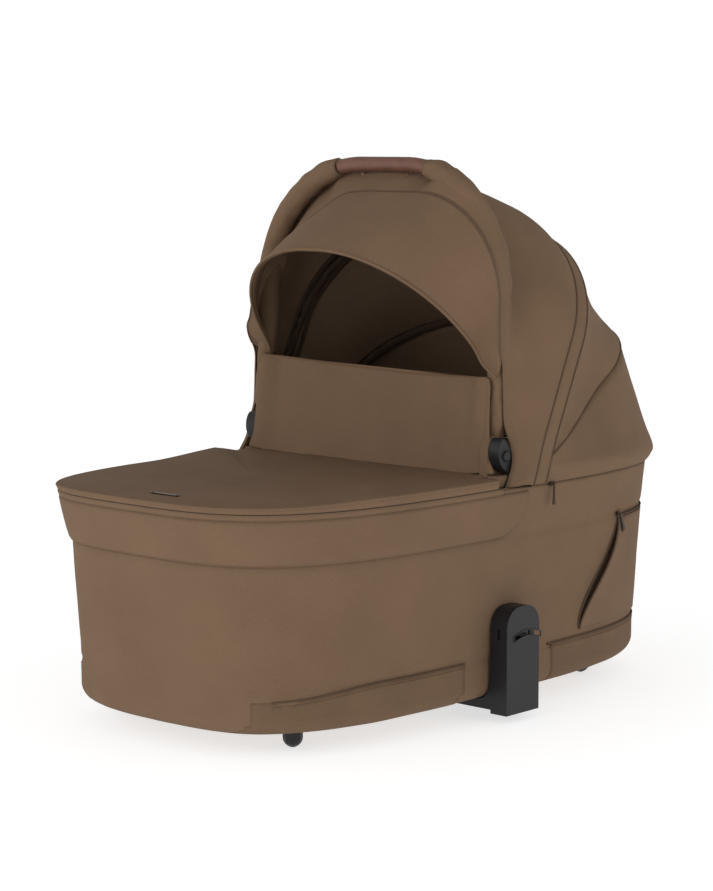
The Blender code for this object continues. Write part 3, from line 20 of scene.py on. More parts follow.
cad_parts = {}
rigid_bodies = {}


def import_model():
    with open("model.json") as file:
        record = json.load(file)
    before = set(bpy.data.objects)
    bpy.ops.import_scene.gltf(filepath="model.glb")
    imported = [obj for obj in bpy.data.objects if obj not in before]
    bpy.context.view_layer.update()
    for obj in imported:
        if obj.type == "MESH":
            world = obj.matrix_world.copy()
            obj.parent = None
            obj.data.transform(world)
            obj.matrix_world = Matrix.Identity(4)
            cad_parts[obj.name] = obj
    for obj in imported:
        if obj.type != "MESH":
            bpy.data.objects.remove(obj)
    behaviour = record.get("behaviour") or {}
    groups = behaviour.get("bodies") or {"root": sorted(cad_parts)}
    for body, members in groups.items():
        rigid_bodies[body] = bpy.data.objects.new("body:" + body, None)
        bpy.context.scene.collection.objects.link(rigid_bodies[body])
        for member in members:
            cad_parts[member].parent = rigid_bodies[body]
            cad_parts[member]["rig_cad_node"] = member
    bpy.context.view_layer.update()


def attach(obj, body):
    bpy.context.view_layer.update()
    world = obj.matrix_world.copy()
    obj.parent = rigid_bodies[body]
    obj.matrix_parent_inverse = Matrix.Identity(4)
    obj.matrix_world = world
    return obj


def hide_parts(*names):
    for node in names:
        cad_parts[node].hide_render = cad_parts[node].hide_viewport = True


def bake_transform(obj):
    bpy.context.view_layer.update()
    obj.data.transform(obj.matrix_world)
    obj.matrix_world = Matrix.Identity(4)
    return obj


LOG = logging.getLogger("carrycot")
UP = np.array([0.0, 0.0, 1.0])
SHARP = math.radians(35)
FULL = 2 * math.pi
STITCH_PITCH = 0.0036
Item = bpy.types.Object
Pair = tuple[float, float]
Triple = tuple[float, float, float]


class Side(Enum):
    """Side of the tub; the value is the sign of X."""

    LEFT = -1
    RIGHT = 1

    @property
    def word(self) -> str:
        """Name used in node names."""
        return self.name.lower()


class End(Enum):
    """End of the tub; the value is the sign of Y."""

    FOOT = -1
    HEAD = 1


# --------------------------------------------------------------------------- shapes


def smooth(value: np.ndarray | float) -> np.ndarray:
    """Ease from 0 to 1 with flat ends."""
    share = np.clip(value, 0.0, 1.0)
    return share * share * (3 - 2 * share)


def mix(first: np.ndarray, second: np.ndarray, share: np.ndarray | float) -> np.ndarray:
    """Point part of the way from the first to the second."""
    return first + (second - first) * share


def power(value: np.ndarray | float, exponent: float) -> np.ndarray:
    """Power of a value that keeps its sign; it squares the corners of a circle."""
    return np.sign(value) * np.abs(value) ** exponent


def bell(value: np.ndarray | float, width: float) -> np.ndarray:
    """Bump of height one round zero."""
    return np.exp(-(value / width) ** 2)


def swell(count: int) -> np.ndarray:
    """Share for each row of a grid, 0 at the first and the last and 1 halfway."""
    return np.sin(np.linspace(0, math.pi, count))[:, None]


def unit(vectors: np.ndarray) -> np.ndarray:
    """Vectors at length one."""
    return vectors / np.maximum(np.linalg.norm(vectors, axis=-1, keepdims=True), 1e-12)


def run_lengths(points: np.ndarray, closed: bool = False) -> np.ndarray:
    """Distance along a run of points.

    Args:
        points: N by 3 points.
        closed: Adds the closing step as one more value.

    Returns:
        The running length at each point.
    """
    run = np.vstack([points, points[:1]]) if closed else points
    return np.concatenate([[0.0], np.cumsum(np.linalg.norm(np.diff(run, axis=0), axis=1))])


def at_lengths(points: np.ndarray, lengths: np.ndarray, places: np.ndarray) -> np.ndarray:
    """Points of a run, given its running lengths, at some distances along it."""
    return np.stack([np.interp(places, lengths, points[:, k]) for k in range(3)], axis=1)


def resample(points: np.ndarray, count: int) -> np.ndarray:
    """Same run of points with even spacing."""
    lengths = run_lengths(points)
    return at_lengths(points, lengths, np.linspace(0.0, lengths[-1], count))


def spline(keys: Sequence[np.ndarray], steps: int) -> np.ndarray:
    """Smooth rows through key rows.

    Args:
        keys: Key rows, each N by 3.
        steps: Rows between two keys.

    Returns:
        Rows by N by 3 points of a Catmull-Rom curve through every column.
    """
    run = [2 * keys[0] - keys[1], *keys, 2 * keys[-1] - keys[-2]]
    rows = []
    for i in range(1, len(run) - 2):
        p0, p1, p2, p3 = run[i - 1 : i + 3]
        for t in (k / steps for k in range(steps)):
            rows.append(0.5 * (2 * p1 + (p2 - p0) * t + (2 * p0 - 5 * p1 + 4 * p2 - p3) * t * t
                               + (3 * p1 - p0 - 3 * p2 + p3) * t ** 3))
    return np.array([*rows, keys[-1]])


def grid_normals(grid: np.ndarray, closed: bool = False) -> np.ndarray:
    """Normals of a grid of points, on the side that its winding gives.

    Args:
        grid: Rows by columns by 3.
        closed: Whether the columns meet.

    Returns:
        An array of the same shape.
    """
    if closed:
        across = np.roll(grid, -1, axis=1) - np.roll(grid, 1, axis=1)
    else:
        across = np.gradient(grid, axis=1)
    return unit(np.cross(across, np.gradient(grid, axis=0)))


def pushed(grid: np.ndarray, push: np.ndarray, closed: bool = False) -> np.ndarray:
    """Grid moved along its normals."""
    return grid + grid_normals(grid, closed) * push[..., None]


def faces_out(grid: np.ndarray, centre: Triple) -> bool:
    """Whether the normals of a grid look away from a centre."""
    return (grid_normals(grid) * (grid - np.array(centre))).sum(axis=-1).mean() >= 0


def soft_noise(points: np.ndarray, size: float, seed: float) -> np.ndarray:
    """Smooth unevenness between -1 and 1.

    Args:
        points: Array of points, last axis 3.
        size: Distance over which it changes.
        seed: Picks another pattern.

    Returns:
        One value for each point.
    """
    flat = points.reshape(-1, 3) / size + seed
    return np.array([noise.noise(Vector(p)) for p in flat]).reshape(points.shape[:-1])


def soften(grid: np.ndarray, amount: float, size: float, seed: float, closed: bool = False,
           mask: np.ndarray | float = 1.0) -> np.ndarray:
    """Grid pushed in and out along its normals as cloth is over padding.

    Args:
        grid: Rows by columns by 3.
        amount: Largest push.
        size: Distance over which it changes.
        seed: Picks another pattern.
        closed: Whether the columns meet.
        mask: Share of the push at each point.

    Returns:
        The pushed grid.
    """
    push = soft_noise(grid, size, seed) + 0.4 * soft_noise(grid, size / 2.7, seed + 7.3)
    return pushed(grid, push * amount * mask, closed)


def pucker(distance: np.ndarray, along: np.ndarray, amount: float, pitch: float, reach: float,
           seed: float) -> np.ndarray:
    """Small ripples that a line of stitches draws into cloth.

    Args:
        distance: Distance from the seam at each point.
        along: Distance along the seam, of the same shape or one row of it.
        amount: Height of the ripples at the seam.
        pitch: Their spacing.
        reach: Distance over which they fade.
        seed: Picks another pattern.

    Returns:
        A push along the normal at each point.
    """
    along = np.broadcast_to(along, distance.shape)
    places = np.stack([along / pitch, distance / (3 * reach), np.full_like(distance, seed)], axis=-1)
    return amount * np.exp(-np.abs(distance) / reach) * soft_noise(places, 1.0, 0.0) * 1.6


def slack(keys: Sequence[np.ndarray], steps: int, uneven: Triple, seams: Sequence[np.ndarray] = (),
          ripple: tuple[float, ...] = ()) -> np.ndarray:
    """Rows of slack cloth through key rows, rippled along its seams.

    Args:
        keys: Key rows, each N by 3.
        steps: Rows between two keys.
        uneven: Amount, size and seed of the unevenness.
        seams: Lines that it is sewn along.
        ripple: Amount, pitch, reach and seed of the ripples.

    Returns:
        Rows by N by 3 points.
    """
    rows = spline(keys, steps)
    mask = swell(len(rows))
    rows = soften(rows, *uneven, False, mask)
    if not seams:
        return rows
    near = np.min([np.linalg.norm(rows - seam, axis=-1) for seam in seams], axis=0)
    return pushed(rows, pucker(near, run_lengths(seams[0]), *ripple) * mask)


# --------------------------------------------------------------------------- meshes


def mesh_object(name: str, points: np.ndarray, faces: list[tuple[int, ...]],
                places: list[Pair] | None = None) -> Item:
    """Smooth-shaded object from points and faces, linked to the scene.

    Args:
        name: Name of the object.
        points: N by 3 points.
        faces: Indices of each face's corners.
        places: UV place of each corner, in metres.

    Returns:
        The new object.
    """
    mesh = bpy.data.meshes.new(name)
    mesh.from_pydata([tuple(p) for p in points], [], faces)
    layer = mesh.uv_layers.new(name="cloth")
    if places is None:
        places = [(points[i][0] + points[i][1] * 0.37, points[i][2] + points[i][1] * 0.61)
                  for face in faces for i in face]
    layer.data.foreach_set("uv", np.array(places, np.float32).ravel())
    mesh.validate()
    mesh.shade_smooth()
    item = bpy.data.objects.new(name, mesh)
    bpy.context.scene.collection.objects.link(item)
    return item


def grid_mesh(name: str, grid: np.ndarray, closed: bool = False, rows_closed: bool = False,
              cap: bool = False) -> Item:
    """Smooth-shaded object from a grid of points, with a UV map in metres.

    Args:
        name: Name of the object.
        grid: Rows by columns by 3.
        closed: Whether the columns meet.
        rows_closed: Whether the last row meets the first.
        cap: Fills the last row.

    Returns:
        The new object.
    """
    rows, columns = grid.shape[:2]
    across = np.array([run_lengths(row, closed) for row in grid]).mean(axis=0)
    along = np.array([run_lengths(grid[:, c], rows_closed) for c in range(0, columns, 8)]).mean(axis=0)
    faces, places = [], []
    for r in range(rows if rows_closed else rows - 1):
        for c in range(columns if closed else columns - 1):
            r1, c1 = (r + 1) % rows, (c + 1) % columns
            faces.append((r * columns + c, r * columns + c1, r1 * columns + c1, r1 * columns + c))
            places += [(across[c], along[r]), (across[c + 1], along[r]),
                       (across[c + 1], along[r + 1]), (across[c], along[r + 1])]
    if cap:
        faces.append(tuple((rows - 1) * columns + c for c in range(columns)))
        places += [(p[0], p[1]) for p in grid[-1]]
    return mesh_object(name, grid.reshape(-1, 3), faces, places)


def sheet(name: str, grid: np.ndarray, thickness: float, closed: bool = False, cap: bool = False) -> Item:
    """Cloth from a grid of points, with its thickness inward of them.

    Args:
        name: Name of the object.
        grid: Rows by columns by 3.
        thickness: Thickness of the cloth.
        closed: Whether the columns meet.
        cap: Fills the last row.

    Returns:
        The new object.
    """
    item = grid_mesh(name, grid, closed, cap=cap)
    modifier = item.modifiers.new("thickness", "SOLIDIFY")
    modifier.thickness = thickness
    modifier.offset = -1.0
    return item


def square_to(direction: np.ndarray) -> np.ndarray:
    """Some direction square to another one."""
    helper = UP if abs(direction @ UP) < 0.9 else np.array([1.0, 0.0, 0.0])
    return unit(np.cross(helper, direction))


def ring(first: np.ndarray, second: np.ndarray, sides: int) -> np.ndarray:
    """Directions round an axis, or round every point of a path, from two that are square to it."""
    turns = np.linspace(0, FULL, sides, endpoint=False)
    return np.cos(turns)[:, None] * first[..., None, :] + np.sin(turns)[:, None] * second[..., None, :]


def rings_along(path: np.ndarray, sides: int, closed: bool = False) -> np.ndarray:
    """Directions round each point of a path, without twist.

    Args:
        path: N by 3 points.
        sides: Directions at each point.
        closed: Whether the path meets its start.

    Returns:
        N by sides by 3 directions.
    """
    ahead = np.roll(path, -1, axis=0) - np.roll(path, 1, axis=0)
    if not closed:
        ahead[0], ahead[-1] = path[1] - path[0], path[-1] - path[-2]
    ahead = unit(ahead)
    first = [square_to(ahead[0])]
    for tangent in ahead[1:]:
        first.append(unit(first[-1] - tangent * (first[-1] @ tangent)))
    return ring(np.array(first), np.cross(ahead, first), sides)


def with_ends(path: np.ndarray, grid: np.ndarray, share: float) -> np.ndarray:
    """Grid round a path with one more, narrower ring at each end."""
    ends = [mix(path[k], grid[k], share)[None] for k in (0, -1)]
    return np.concatenate([ends[0], grid, ends[1]])


def tube(name: str, path: np.ndarray, radius: float | np.ndarray, sides: int = 8,
         closed: bool = False) -> Item:
    """Round cord along a path.

    Args:
        name: Name of the object.
        path: N by 3 points.
        radius: One radius, or one for each point.
        sides: Facets round it.
        closed: Whether the path meets its start.

    Returns:
        The new object.
    """
    radii = np.broadcast_to(radius, len(path))[:, None, None]
    grid = path[:, None] + rings_along(path, sides, closed) * radii
    if closed:
        return grid_mesh(name, grid, closed=True, rows_closed=True)
    return grid_mesh(name, with_ends(path, grid, 0.7), closed=True, cap=True)


def stitches(name: str, path: np.ndarray, normals: np.ndarray, pitch: float, thread: float) -> Item:
    """Row of sewn stitches lying on cloth.

    Args:
        name: Name of the object.
        path: Line of the seam.
        normals: Outward direction at each of its points.
        pitch: Length of a stitch with its gap.
        thread: Radius of the thread.

    Returns:
        One object with every stitch.
    """
    length = run_lengths(path)
    count = max(int(length[-1] / pitch), 1)
    shares = np.array([0.0, 0.12, 0.4, 0.68, 0.8])
    lifts = np.array([-0.4, 0.6, 1.0, 0.6, -0.4]) * thread
    points, faces = [], []
    for i in range(count):
        places = (i + 0.1 + shares) * length[-1] / count
        line, out = at_lengths(path, length, places), unit(at_lengths(normals, length, places))
        side = unit(np.cross(out, unit(line[-1] - line[0])))
        line = line + out * lifts[:, None]
        base = len(points)
        for k, (point, o, s) in enumerate(zip(line, out, side)):
            wide = thread * (0.45 if k in (0, 4) else 1.0)
            points += [point + s * wide, point + o * wide, point - s * wide, point - o * wide]
        for k in range(4):
            for c in range(4):
                a, b = base + 4 * k + c, base + 4 * k + (c + 1) % 4
                faces.append((a, b, b + 4, a + 4))
        faces += [(base + 3, base + 2, base + 1, base), (base + 16, base + 17, base + 18, base + 19)]
    return mesh_object(name, np.array(points), faces)


def turned(name: str, profile: Sequence[Pair], centre: Sequence[float], axis: Sequence[float],
           sides: int = 48) -> Item:
    """Turned piece from (radius, distance) pairs along an axis, with its sharp edges kept.

    Args:
        name: Name of the object.
        profile: Pairs from one end to the other.
        centre: Point on the axis that distances start from.
        axis: Direction of the axis.
        sides: Facets round it.

    Returns:
        The new object.
    """
    along = unit(np.array(axis, float))
    first = -square_to(along)
    round_it = ring(first, np.cross(along, first), sides)
    grid = np.array([np.array(centre, float) + along * d + round_it * max(r, 1e-5) for r, d in profile])
    item = grid_mesh(name, grid, closed=True)
    item.data.set_sharp_from_angle(angle=SHARP)
    return item


def extruded(name: str, outline: Sequence[Sequence[float]], direction: Sequence[float], depth: float,
             bevel: float = 0.0, steps: int = 3) -> Item:
    """Plate from an outline and a depth, with rounded edges where a bevel is given.

    Args:
        name: Name of the object.
        outline: Corner points in space.
        direction: Way it is thickened.
        depth: Its thickness.
        bevel: Width of the rounding.
        steps: Facets of the rounding.

    Returns:
        The new object.
    """
    base = np.array(outline, float)
    top = base + unit(np.array(direction, float)) * depth
    count = len(base)
    faces = [tuple(range(count))[::-1], tuple(range(count, 2 * count))]
    faces += [(i, (i + 1) % count, count + (i + 1) % count, count + i) for i in range(count)]
    item = mesh_object(name, np.vstack([base, top]), faces)
    item.data.set_sharp_from_angle(angle=SHARP)
    return round_edges(item, bevel, steps) if bevel else item


def round_edges(item: Item, width: float, steps: int) -> Item:
    """Bevel on the sharp edges.

    Args:
        item: Object to bevel.
        width: Width of the rounding.
        steps: Its facets.

    Returns:
        The same object.
    """
    modifier = item.modifiers.new("round", "BEVEL")
    modifier.width = width
    modifier.segments = steps
    modifier.limit_method = "ANGLE"
    modifier.angle_limit = SHARP
    modifier.harden_normals = True
    return item


def outward(item: Item) -> Item:
    """Turns every face of a closed piece outward.

    Args:
        item: Piece to turn.

    Returns:
        The same piece.
    """
    shape = bmesh.new()
    shape.from_mesh(item.data)
    bmesh.ops.recalc_face_normals(shape, faces=shape.faces)
    shape.to_mesh(item.data)
    shape.free()
    return item


# --------------------------------------------------------------------------- finishes


class Graph:
    """Lays out the nodes of one material."""

    def __init__(self, name: str) -> None:
        """Starts a material with a Principled shader and its coordinates.

        Args:
            name: Name of the material.
        """
        self.material = bpy.data.materials.new(name)
        self.material.use_nodes = True
        self.tree = self.material.node_tree
        self.shader = self.tree.nodes["Principled BSDF"]
        self.spots = self.node("ShaderNodeTexCoord").outputs
        self.place = self.spots["Object"]

    def node(self, kind: str, inputs: dict[str, object] | None = None, **settings: object) -> bpy.types.Node:
        """Adds a node.

        Args:
            kind: Type of the node.
            inputs: Socket name to a value or another node's output.
            **settings: Properties of the node.

        Returns:
            The node.
        """
        made = self.tree.nodes.new(kind)
        for key, value in settings.items():
            setattr(made, key, value)
        for key, value in (inputs or {}).items():
            self.feed(made.inputs[key], value)
        return made

    def feed(self, socket: bpy.types.NodeSocket, value: object) -> None:
        """Links an output to a socket, or sets its value.

        Args:
            socket: Socket to feed.
            value: An output, or a plain value.
        """
        if isinstance(value, bpy.types.NodeSocket):
            self.tree.links.new(value, socket)
        else:
            socket.default_value = value

    def math(self, operation: str, first: object, second: object) -> bpy.types.NodeSocket:
        """Output of a Math node.

        Args:
            operation: What it does.
            first: First value or output.
            second: Second value or output.

        Returns:
            The result.
        """
        made = self.node("ShaderNodeMath", operation=operation)
        self.feed(made.inputs[0], first)
        self.feed(made.inputs[1], second)
        return made.outputs[0]

    def speckle(self, vector: bpy.types.NodeSocket, scale: float, detail: float = 3.0,
                stretch: Triple | None = None) -> bpy.types.NodeSocket:
        """Noise value.

        Args:
            vector: Coordinates.
            scale: Scale of the noise.
            detail: Its octaves.
            stretch: Scale of each coordinate, if they differ.

        Returns:
            The noise.
        """
        if stretch:
            vector = self.node("ShaderNodeMapping", {"Vector": vector, "Scale": stretch}).outputs[0]
        inputs = {"Vector": vector, "Scale": scale, "Detail": detail}
        return self.node("ShaderNodeTexNoise", inputs).outputs[0]

    def ramp(self, value: bpy.types.NodeSocket, tones: tuple[Triple, Triple], start: float = 0.3,
             end: float = 0.7) -> bpy.types.NodeSocket:
        """Colour that changes with a value.

        Args:
            value: Value to follow.
            tones: Colour at the start and at the end.
            start: Value of the first colour.
            end: Value of the second colour.

        Returns:
            The colour.
        """
        made = self.tree.nodes.new("ShaderNodeValToRGB")
        for stop, position, tone in zip(made.color_ramp.elements, (start, end), tones):
            stop.position = position
            stop.color = (*tone, 1.0)
        self.tree.links.new(value, made.inputs[0])
        return made.outputs[0]

    def between(self, value: bpy.types.NodeSocket, low: float, high: float) -> bpy.types.NodeSocket:
        """Value stretched from 0..1 to a range."""
        return self.node("ShaderNodeMapRange", {"Value": value, "To Min": low, "To Max": high}).outputs[0]

    def bump(self, height: bpy.types.NodeSocket, distance: float, strength: float,
             under: bpy.types.NodeSocket | None = None) -> bpy.types.NodeSocket:
        """Bump normal from a height.

        Args:
            height: Height to follow.
            distance: Full height.
            strength: Share of it that is used.
            under: Normal that it adds to.

        Returns:
            The normal.
        """
        inputs: dict[str, object] = {"Height": height, "Distance": distance, "Strength": strength}
        if under is not None:
            inputs["Normal"] = under
        return self.node("ShaderNodeBump", inputs).outputs[0]

    def surface(self, colour: object, roughness: object, normal: object = None,
                **more: object) -> bpy.types.Material:
        """Feeds the shader.

        Args:
            colour: Base colour.
            roughness: Roughness.
            normal: Bump normal, if any.
            **more: Other inputs, with an underscore for each space in their names.

        Returns:
            The material.
        """
        inputs = {"Base Color": colour, "Roughness": roughness}
        inputs.update({key.replace("_", " "): value for key, value in more.items()})
        if normal is not None:
            inputs["Normal"] = normal
        for key, value in inputs.items():
            self.feed(self.shader.inputs[key], value)
        return self.material


@dataclass(frozen=True)
class Finish:
    """Name, slot and colour of a finish."""

    name: str
    slot: str
    colour: Triple

    def tones(self, low: float, high: float) -> tuple[Triple, Triple]:
        """The colour at two strengths."""
        return tuple(tuple(min(c * factor, 1.0) for c in self.colour) for factor in (low, high))

    def lay_out(self, graph: Graph) -> bpy.types.Material:
        """Feeds the shader of a graph; each kind of finish does this its own way."""
        raise NotImplementedError

    def build(self) -> bpy.types.Material:
        """Returns the material."""
        return self.lay_out(Graph(self.name))


@dataclass(frozen=True)
class WovenCloth(Finish):
    """Closely woven cloth with a slight mottle."""

    mottle: float = 0.10
    thread: float = 0.0008
    relief: float = 0.00012

    def lay_out(self, graph: Graph) -> bpy.types.Material:
        """Weave and slubs along the cloth's own coordinates, with clouds and flecks over them.

        Args:
            graph: Graph to fill.

        Returns:
            The material.
        """
        uv = graph.spots["UV"]
        parts = graph.node("ShaderNodeSeparateXYZ", {"Vector": uv}).outputs
        warp, weft = (graph.math("SINE", graph.math("MULTIPLY", parts[k], FULL / self.thread), 0.0)
                      for k in (0, 1))
        slub = graph.speckle(uv, 1.0, 2.0, (900.0, 260.0, 1.0))
        cloud, fleck = graph.speckle(graph.place, 14.0, 4.0), graph.speckle(graph.place, 620.0, 2.0)
        slub_part, cloud_part, fleck_part = (
            graph.math("MULTIPLY", value, share)
            for value, share in ((slub, 0.35), (cloud, 0.35), (fleck, 0.30)))
        tone = graph.math("ADD", slub_part, graph.math("ADD", cloud_part, fleck_part))
        weave = graph.math("MULTIPLY", warp, weft)
        height = graph.math("ADD", weave, graph.math("MULTIPLY", fleck, 1.5))
        normal = graph.bump(cloud, 0.0015, 0.25, graph.bump(height, self.relief, 0.6))
        colour = graph.ramp(tone, self.tones(1 - self.mottle, 1 + self.mottle), 0.36, 0.62)
        return graph.surface(colour, 0.85, normal, Specular_IOR_Level=0.12)


@dataclass(frozen=True)
class Leather(Finish):
    """Smooth leather."""

    def lay_out(self, graph: Graph) -> bpy.types.Material:
        """Fine pebbled grain and worn high spots.

        Args:
            graph: Graph to fill.

        Returns:
            The material.
        """
        grain = graph.node("ShaderNodeTexVoronoi", {"Vector": graph.place, "Scale": 900.0},
                           feature="DISTANCE_TO_EDGE").outputs["Distance"]
        cloud = graph.speckle(graph.place, 45.0, 5.0)
        normal = graph.bump(cloud, 0.0008, 0.3, graph.bump(grain, 0.00025, 0.5))
        return graph.surface(graph.ramp(cloud, self.tones(0.82, 1.2), 0.35, 0.68),
                             graph.between(cloud, 0.42, 0.58), normal)


@dataclass(frozen=True)
class Moulding(Finish):
    """Moulded plastic."""

    roughness: float = 0.42

    def lay_out(self, graph: Graph) -> bpy.types.Material:
        """Fine spark-eroded texture.

        Args:
            graph: Graph to fill.

        Returns:
            The material.
        """
        fine, cloud = graph.speckle(graph.place, 1500.0, 2.0), graph.speckle(graph.place, 25.0, 4.0)
        return graph.surface(graph.ramp(cloud, self.tones(0.85, 1.15)),
                             graph.between(cloud, self.roughness - 0.05, self.roughness + 0.06),
                             graph.bump(fine, 0.00008, 0.5), Specular_IOR_Level=0.32)


@dataclass(frozen=True)
class Metal(Finish):
    """Drawn or plated metal."""

    roughness: float = 0.32

    def lay_out(self, graph: Graph) -> bpy.types.Material:
        """Faint streaks and duller patches.

        Args:
            graph: Graph to fill.

        Returns:
            The material.
        """
        streak = graph.speckle(graph.place, 1.0, 2.0, (1400.0, 90.0, 1400.0))
        patch = graph.speckle(graph.place, 160.0, 4.0)
        return graph.surface(graph.ramp(patch, self.tones(0.75, 1.15)),
                             graph.between(patch, self.roughness - 0.06, self.roughness + 0.12),
                             graph.bump(streak, 0.00004, 0.35), Metallic=1.0)


@dataclass(frozen=True)
class Fibreboard(Finish):
    """Pressed board with visible fibres."""

    def lay_out(self, graph: Graph) -> bpy.types.Material:
        """Long fibres in one direction."""
        fibre = graph.speckle(graph.place, 1.0, 5.0, (300.0, 120.0, 300.0))
        return graph.surface(graph.ramp(fibre, self.tones(0.8, 1.0)), 0.8, graph.bump(fibre, 0.0003, 0.4))


class Finishes:
    """Every finish of the carrycot, each built once when first used."""

    outer = WovenCloth("outer_weave", "outer_cloth", (0.178, 0.112, 0.068))
    tough = WovenCloth("base_weave", "outer_cloth", (0.166, 0.104, 0.063), mottle=0.12, relief=0.0002)
    edging = WovenCloth("edging_weave", "outer_cloth", (0.105, 0.066, 0.042), mottle=0.08, thread=0.0012)
    thread = WovenCloth("sewing_thread", "outer_cloth", (0.135, 0.086, 0.056), thread=0.0003)
    # Painted light: the lining colour is set lighter than the outer cloth to make up for the little light
    # that reaches inside the hood and tub.
    lining = WovenCloth("lining_weave", "lining_cloth", (0.240, 0.158, 0.100))
    tape = WovenCloth("tape_weave", "lining_cloth", (0.100, 0.066, 0.044), thread=0.0014, relief=0.0003)
    cotton = WovenCloth("pad_cotton", "mattress_cover", (0.62, 0.58, 0.52), mottle=0.04)
    leather = Leather("grip_leather", "leather", (0.132, 0.055, 0.033))
    black = Moulding("black_moulding", "black_plastic", (0.011, 0.011, 0.0125))
    grey = Moulding("grey_moulding", "grey_plastic", (0.05, 0.05, 0.054))
    coil = Moulding("zip_coil", "lining_cloth", (0.034, 0.020, 0.012), roughness=0.8)
    steel = Metal("bare_steel", "steel", (0.55, 0.55, 0.56))
    bronze = Metal("dark_bronze", "bronze", (0.062, 0.040, 0.026), roughness=0.38)
    board = Fibreboard("pressed_board", "board", (0.62, 0.58, 0.52))

    def __init__(self) -> None:
        """Starts with nothing built."""
        self.made: dict[str, bpy.types.Material] = {}

    def dress(self, item: Item, finish: Finish) -> Item:
        """Gives an object one finish, and reports it.

        Args:
            item: Object to dress.
            finish: One of the finishes of this class.

        Returns:
            The same object.
        """
        if finish.name not in self.made:
            self.made[finish.name] = finish.build()
        item.data.materials.clear()
        item.data.materials.append(self.made[finish.name])
        LOG.info("%s: %s, %d faces", item.name, finish.name, len(item.data.polygons))
        return item


# --------------------------------------------------------------------------- tub


@dataclass(frozen=True)
class Plan:
    """Rounded outline of the tub and how its wall leans, as in the frame."""

    half_width: float = 0.2355
    half_length: float = 0.398
    middle_y: float = -0.002
    corner_power: float = 0.58
    rim_top: float = 0.2775
    band_seam: float = 0.220
    panel_seam: float = 0.076
    underside: float = 0.026
    edge_round: float = 0.020
    rim_inset: float = 0.0025
    flare: float = 0.0085
    taper: float = 0.008
    shift: float = 0.0055

    @property
    def edge_top(self) -> float:
        """Height where the wall starts to round into the underside."""
        return self.underside + self.edge_round

    def flared(self, z: np.ndarray | float) -> np.ndarray:
        """Share of the way from the rim down to the band's seam at a height."""
        return np.clip((self.rim_top - z) / (self.rim_top - self.band_seam), 0, 1)

    def inset_at(self, z: np.ndarray | float) -> np.ndarray:
        """How far the wall lies inside the outline at a height."""
        taper = np.clip((self.band_seam - z) / (self.band_seam - self.panel_seam), 0, 1)
        return self.rim_inset + self.flare * self.flared(z) + self.taper * taper

    def points(self, turns: np.ndarray, inset: float | np.ndarray, z: float | np.ndarray) -> np.ndarray:
        """Points of the outline.

        Args:
            turns: Turn of each point round the outline.
            inset: Distance inside the outline.
            z: Height.

        Returns:
            N by 3 points.
        """
        heights = np.broadcast_to(z, np.shape(turns)).astype(float)
        x = (self.half_width - inset) * power(np.cos(turns), self.corner_power)
        y = (self.half_length - inset) * power(np.sin(turns), self.corner_power)
        return np.stack([x, y + self.middle_y + self.shift * self.flared(heights), heights], axis=-1)

    def rows(self, turns: np.ndarray, pairs: Sequence[Pair]) -> np.ndarray:
        """Rows of points, one for each pair of inset and height."""
        return np.array([self.points(turns, inset, z) for inset, z in pairs])

    def on_wall(self, turns: np.ndarray, z: float | np.ndarray, proud: float) -> np.ndarray:
        """Points that stand proud of the wall at a height."""
        return self.points(turns, self.inset_at(z) - proud, z)

    def even_turns(self, count: int, start: float = 0.0, end: float = FULL,
                   closed: bool = True) -> np.ndarray:
        """Turns that give evenly spaced points.

        Args:
            count: How many.
            start: First turn.
            end: Last turn.
            closed: Leaves the last one out, as on a ring.

        Returns:
            The turns.
        """
        fine = np.linspace(start, end, 6001)
        length = run_lengths(self.points(fine, 0.0, self.rim_top))
        return np.interp(np.linspace(0.0, length[-1], count, endpoint=not closed), length, fine)

    def turn_at(self, y: float, z: float = 1.0) -> float:
        """Turn at which the right side passes a y position, at the rim or at a height below it."""
        share = (y - self.shift * float(self.flared(z)) - self.middle_y) / self.half_length
        return math.copysign(math.asin(min(abs(share), 1.0) ** (1 / self.corner_power)), share)

    def arc_turns(self, y: float, end: End, count: int) -> np.ndarray:
        """Evenly spaced turns from a y position on the right side round one end to the left side."""
        start = self.turn_at(y)
        return self.even_turns(count, start, end.value * math.pi - start, closed=False)

    def outward(self, turns: np.ndarray) -> np.ndarray:
        """Level direction out of the wall at each turn."""
        ahead = self.points(turns + 1e-4, 0.0, 0.0) - self.points(turns - 1e-4, 0.0, 0.0)
        return unit(np.stack([ahead[..., 1], -ahead[..., 0], np.zeros(np.shape(turns))], axis=-1))


@dataclass
class Group:
    """Pieces of one part of the carrycot, with the finishes and the plan that they share."""

    finishes: Finishes
    plan: Plan = field(default_factory=Plan)

    def put(self, item: Item, finish: Finish, body: str, node: str = "") -> Item:
        """Dresses a piece and lets it ride its body.

        Args:
            item: The piece.
            finish: Its finish.
            body: Body that it rides.
            node: CAD node that it replaces, if any.

        Returns:
            The piece.
        """
        self.finishes.dress(item, finish)
        if node:
            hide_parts(node)
        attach(item, body)
        return item

    def sew(self, name: str, line: np.ndarray, normals: np.ndarray, body: str,
            thread: float = 0.00032) -> Item:
        """Row of stitches in sewing thread along a line on the cloth."""
        return self.put(stitches(name, line, normals, STITCH_PITCH, thread), Finishes.thread, body)


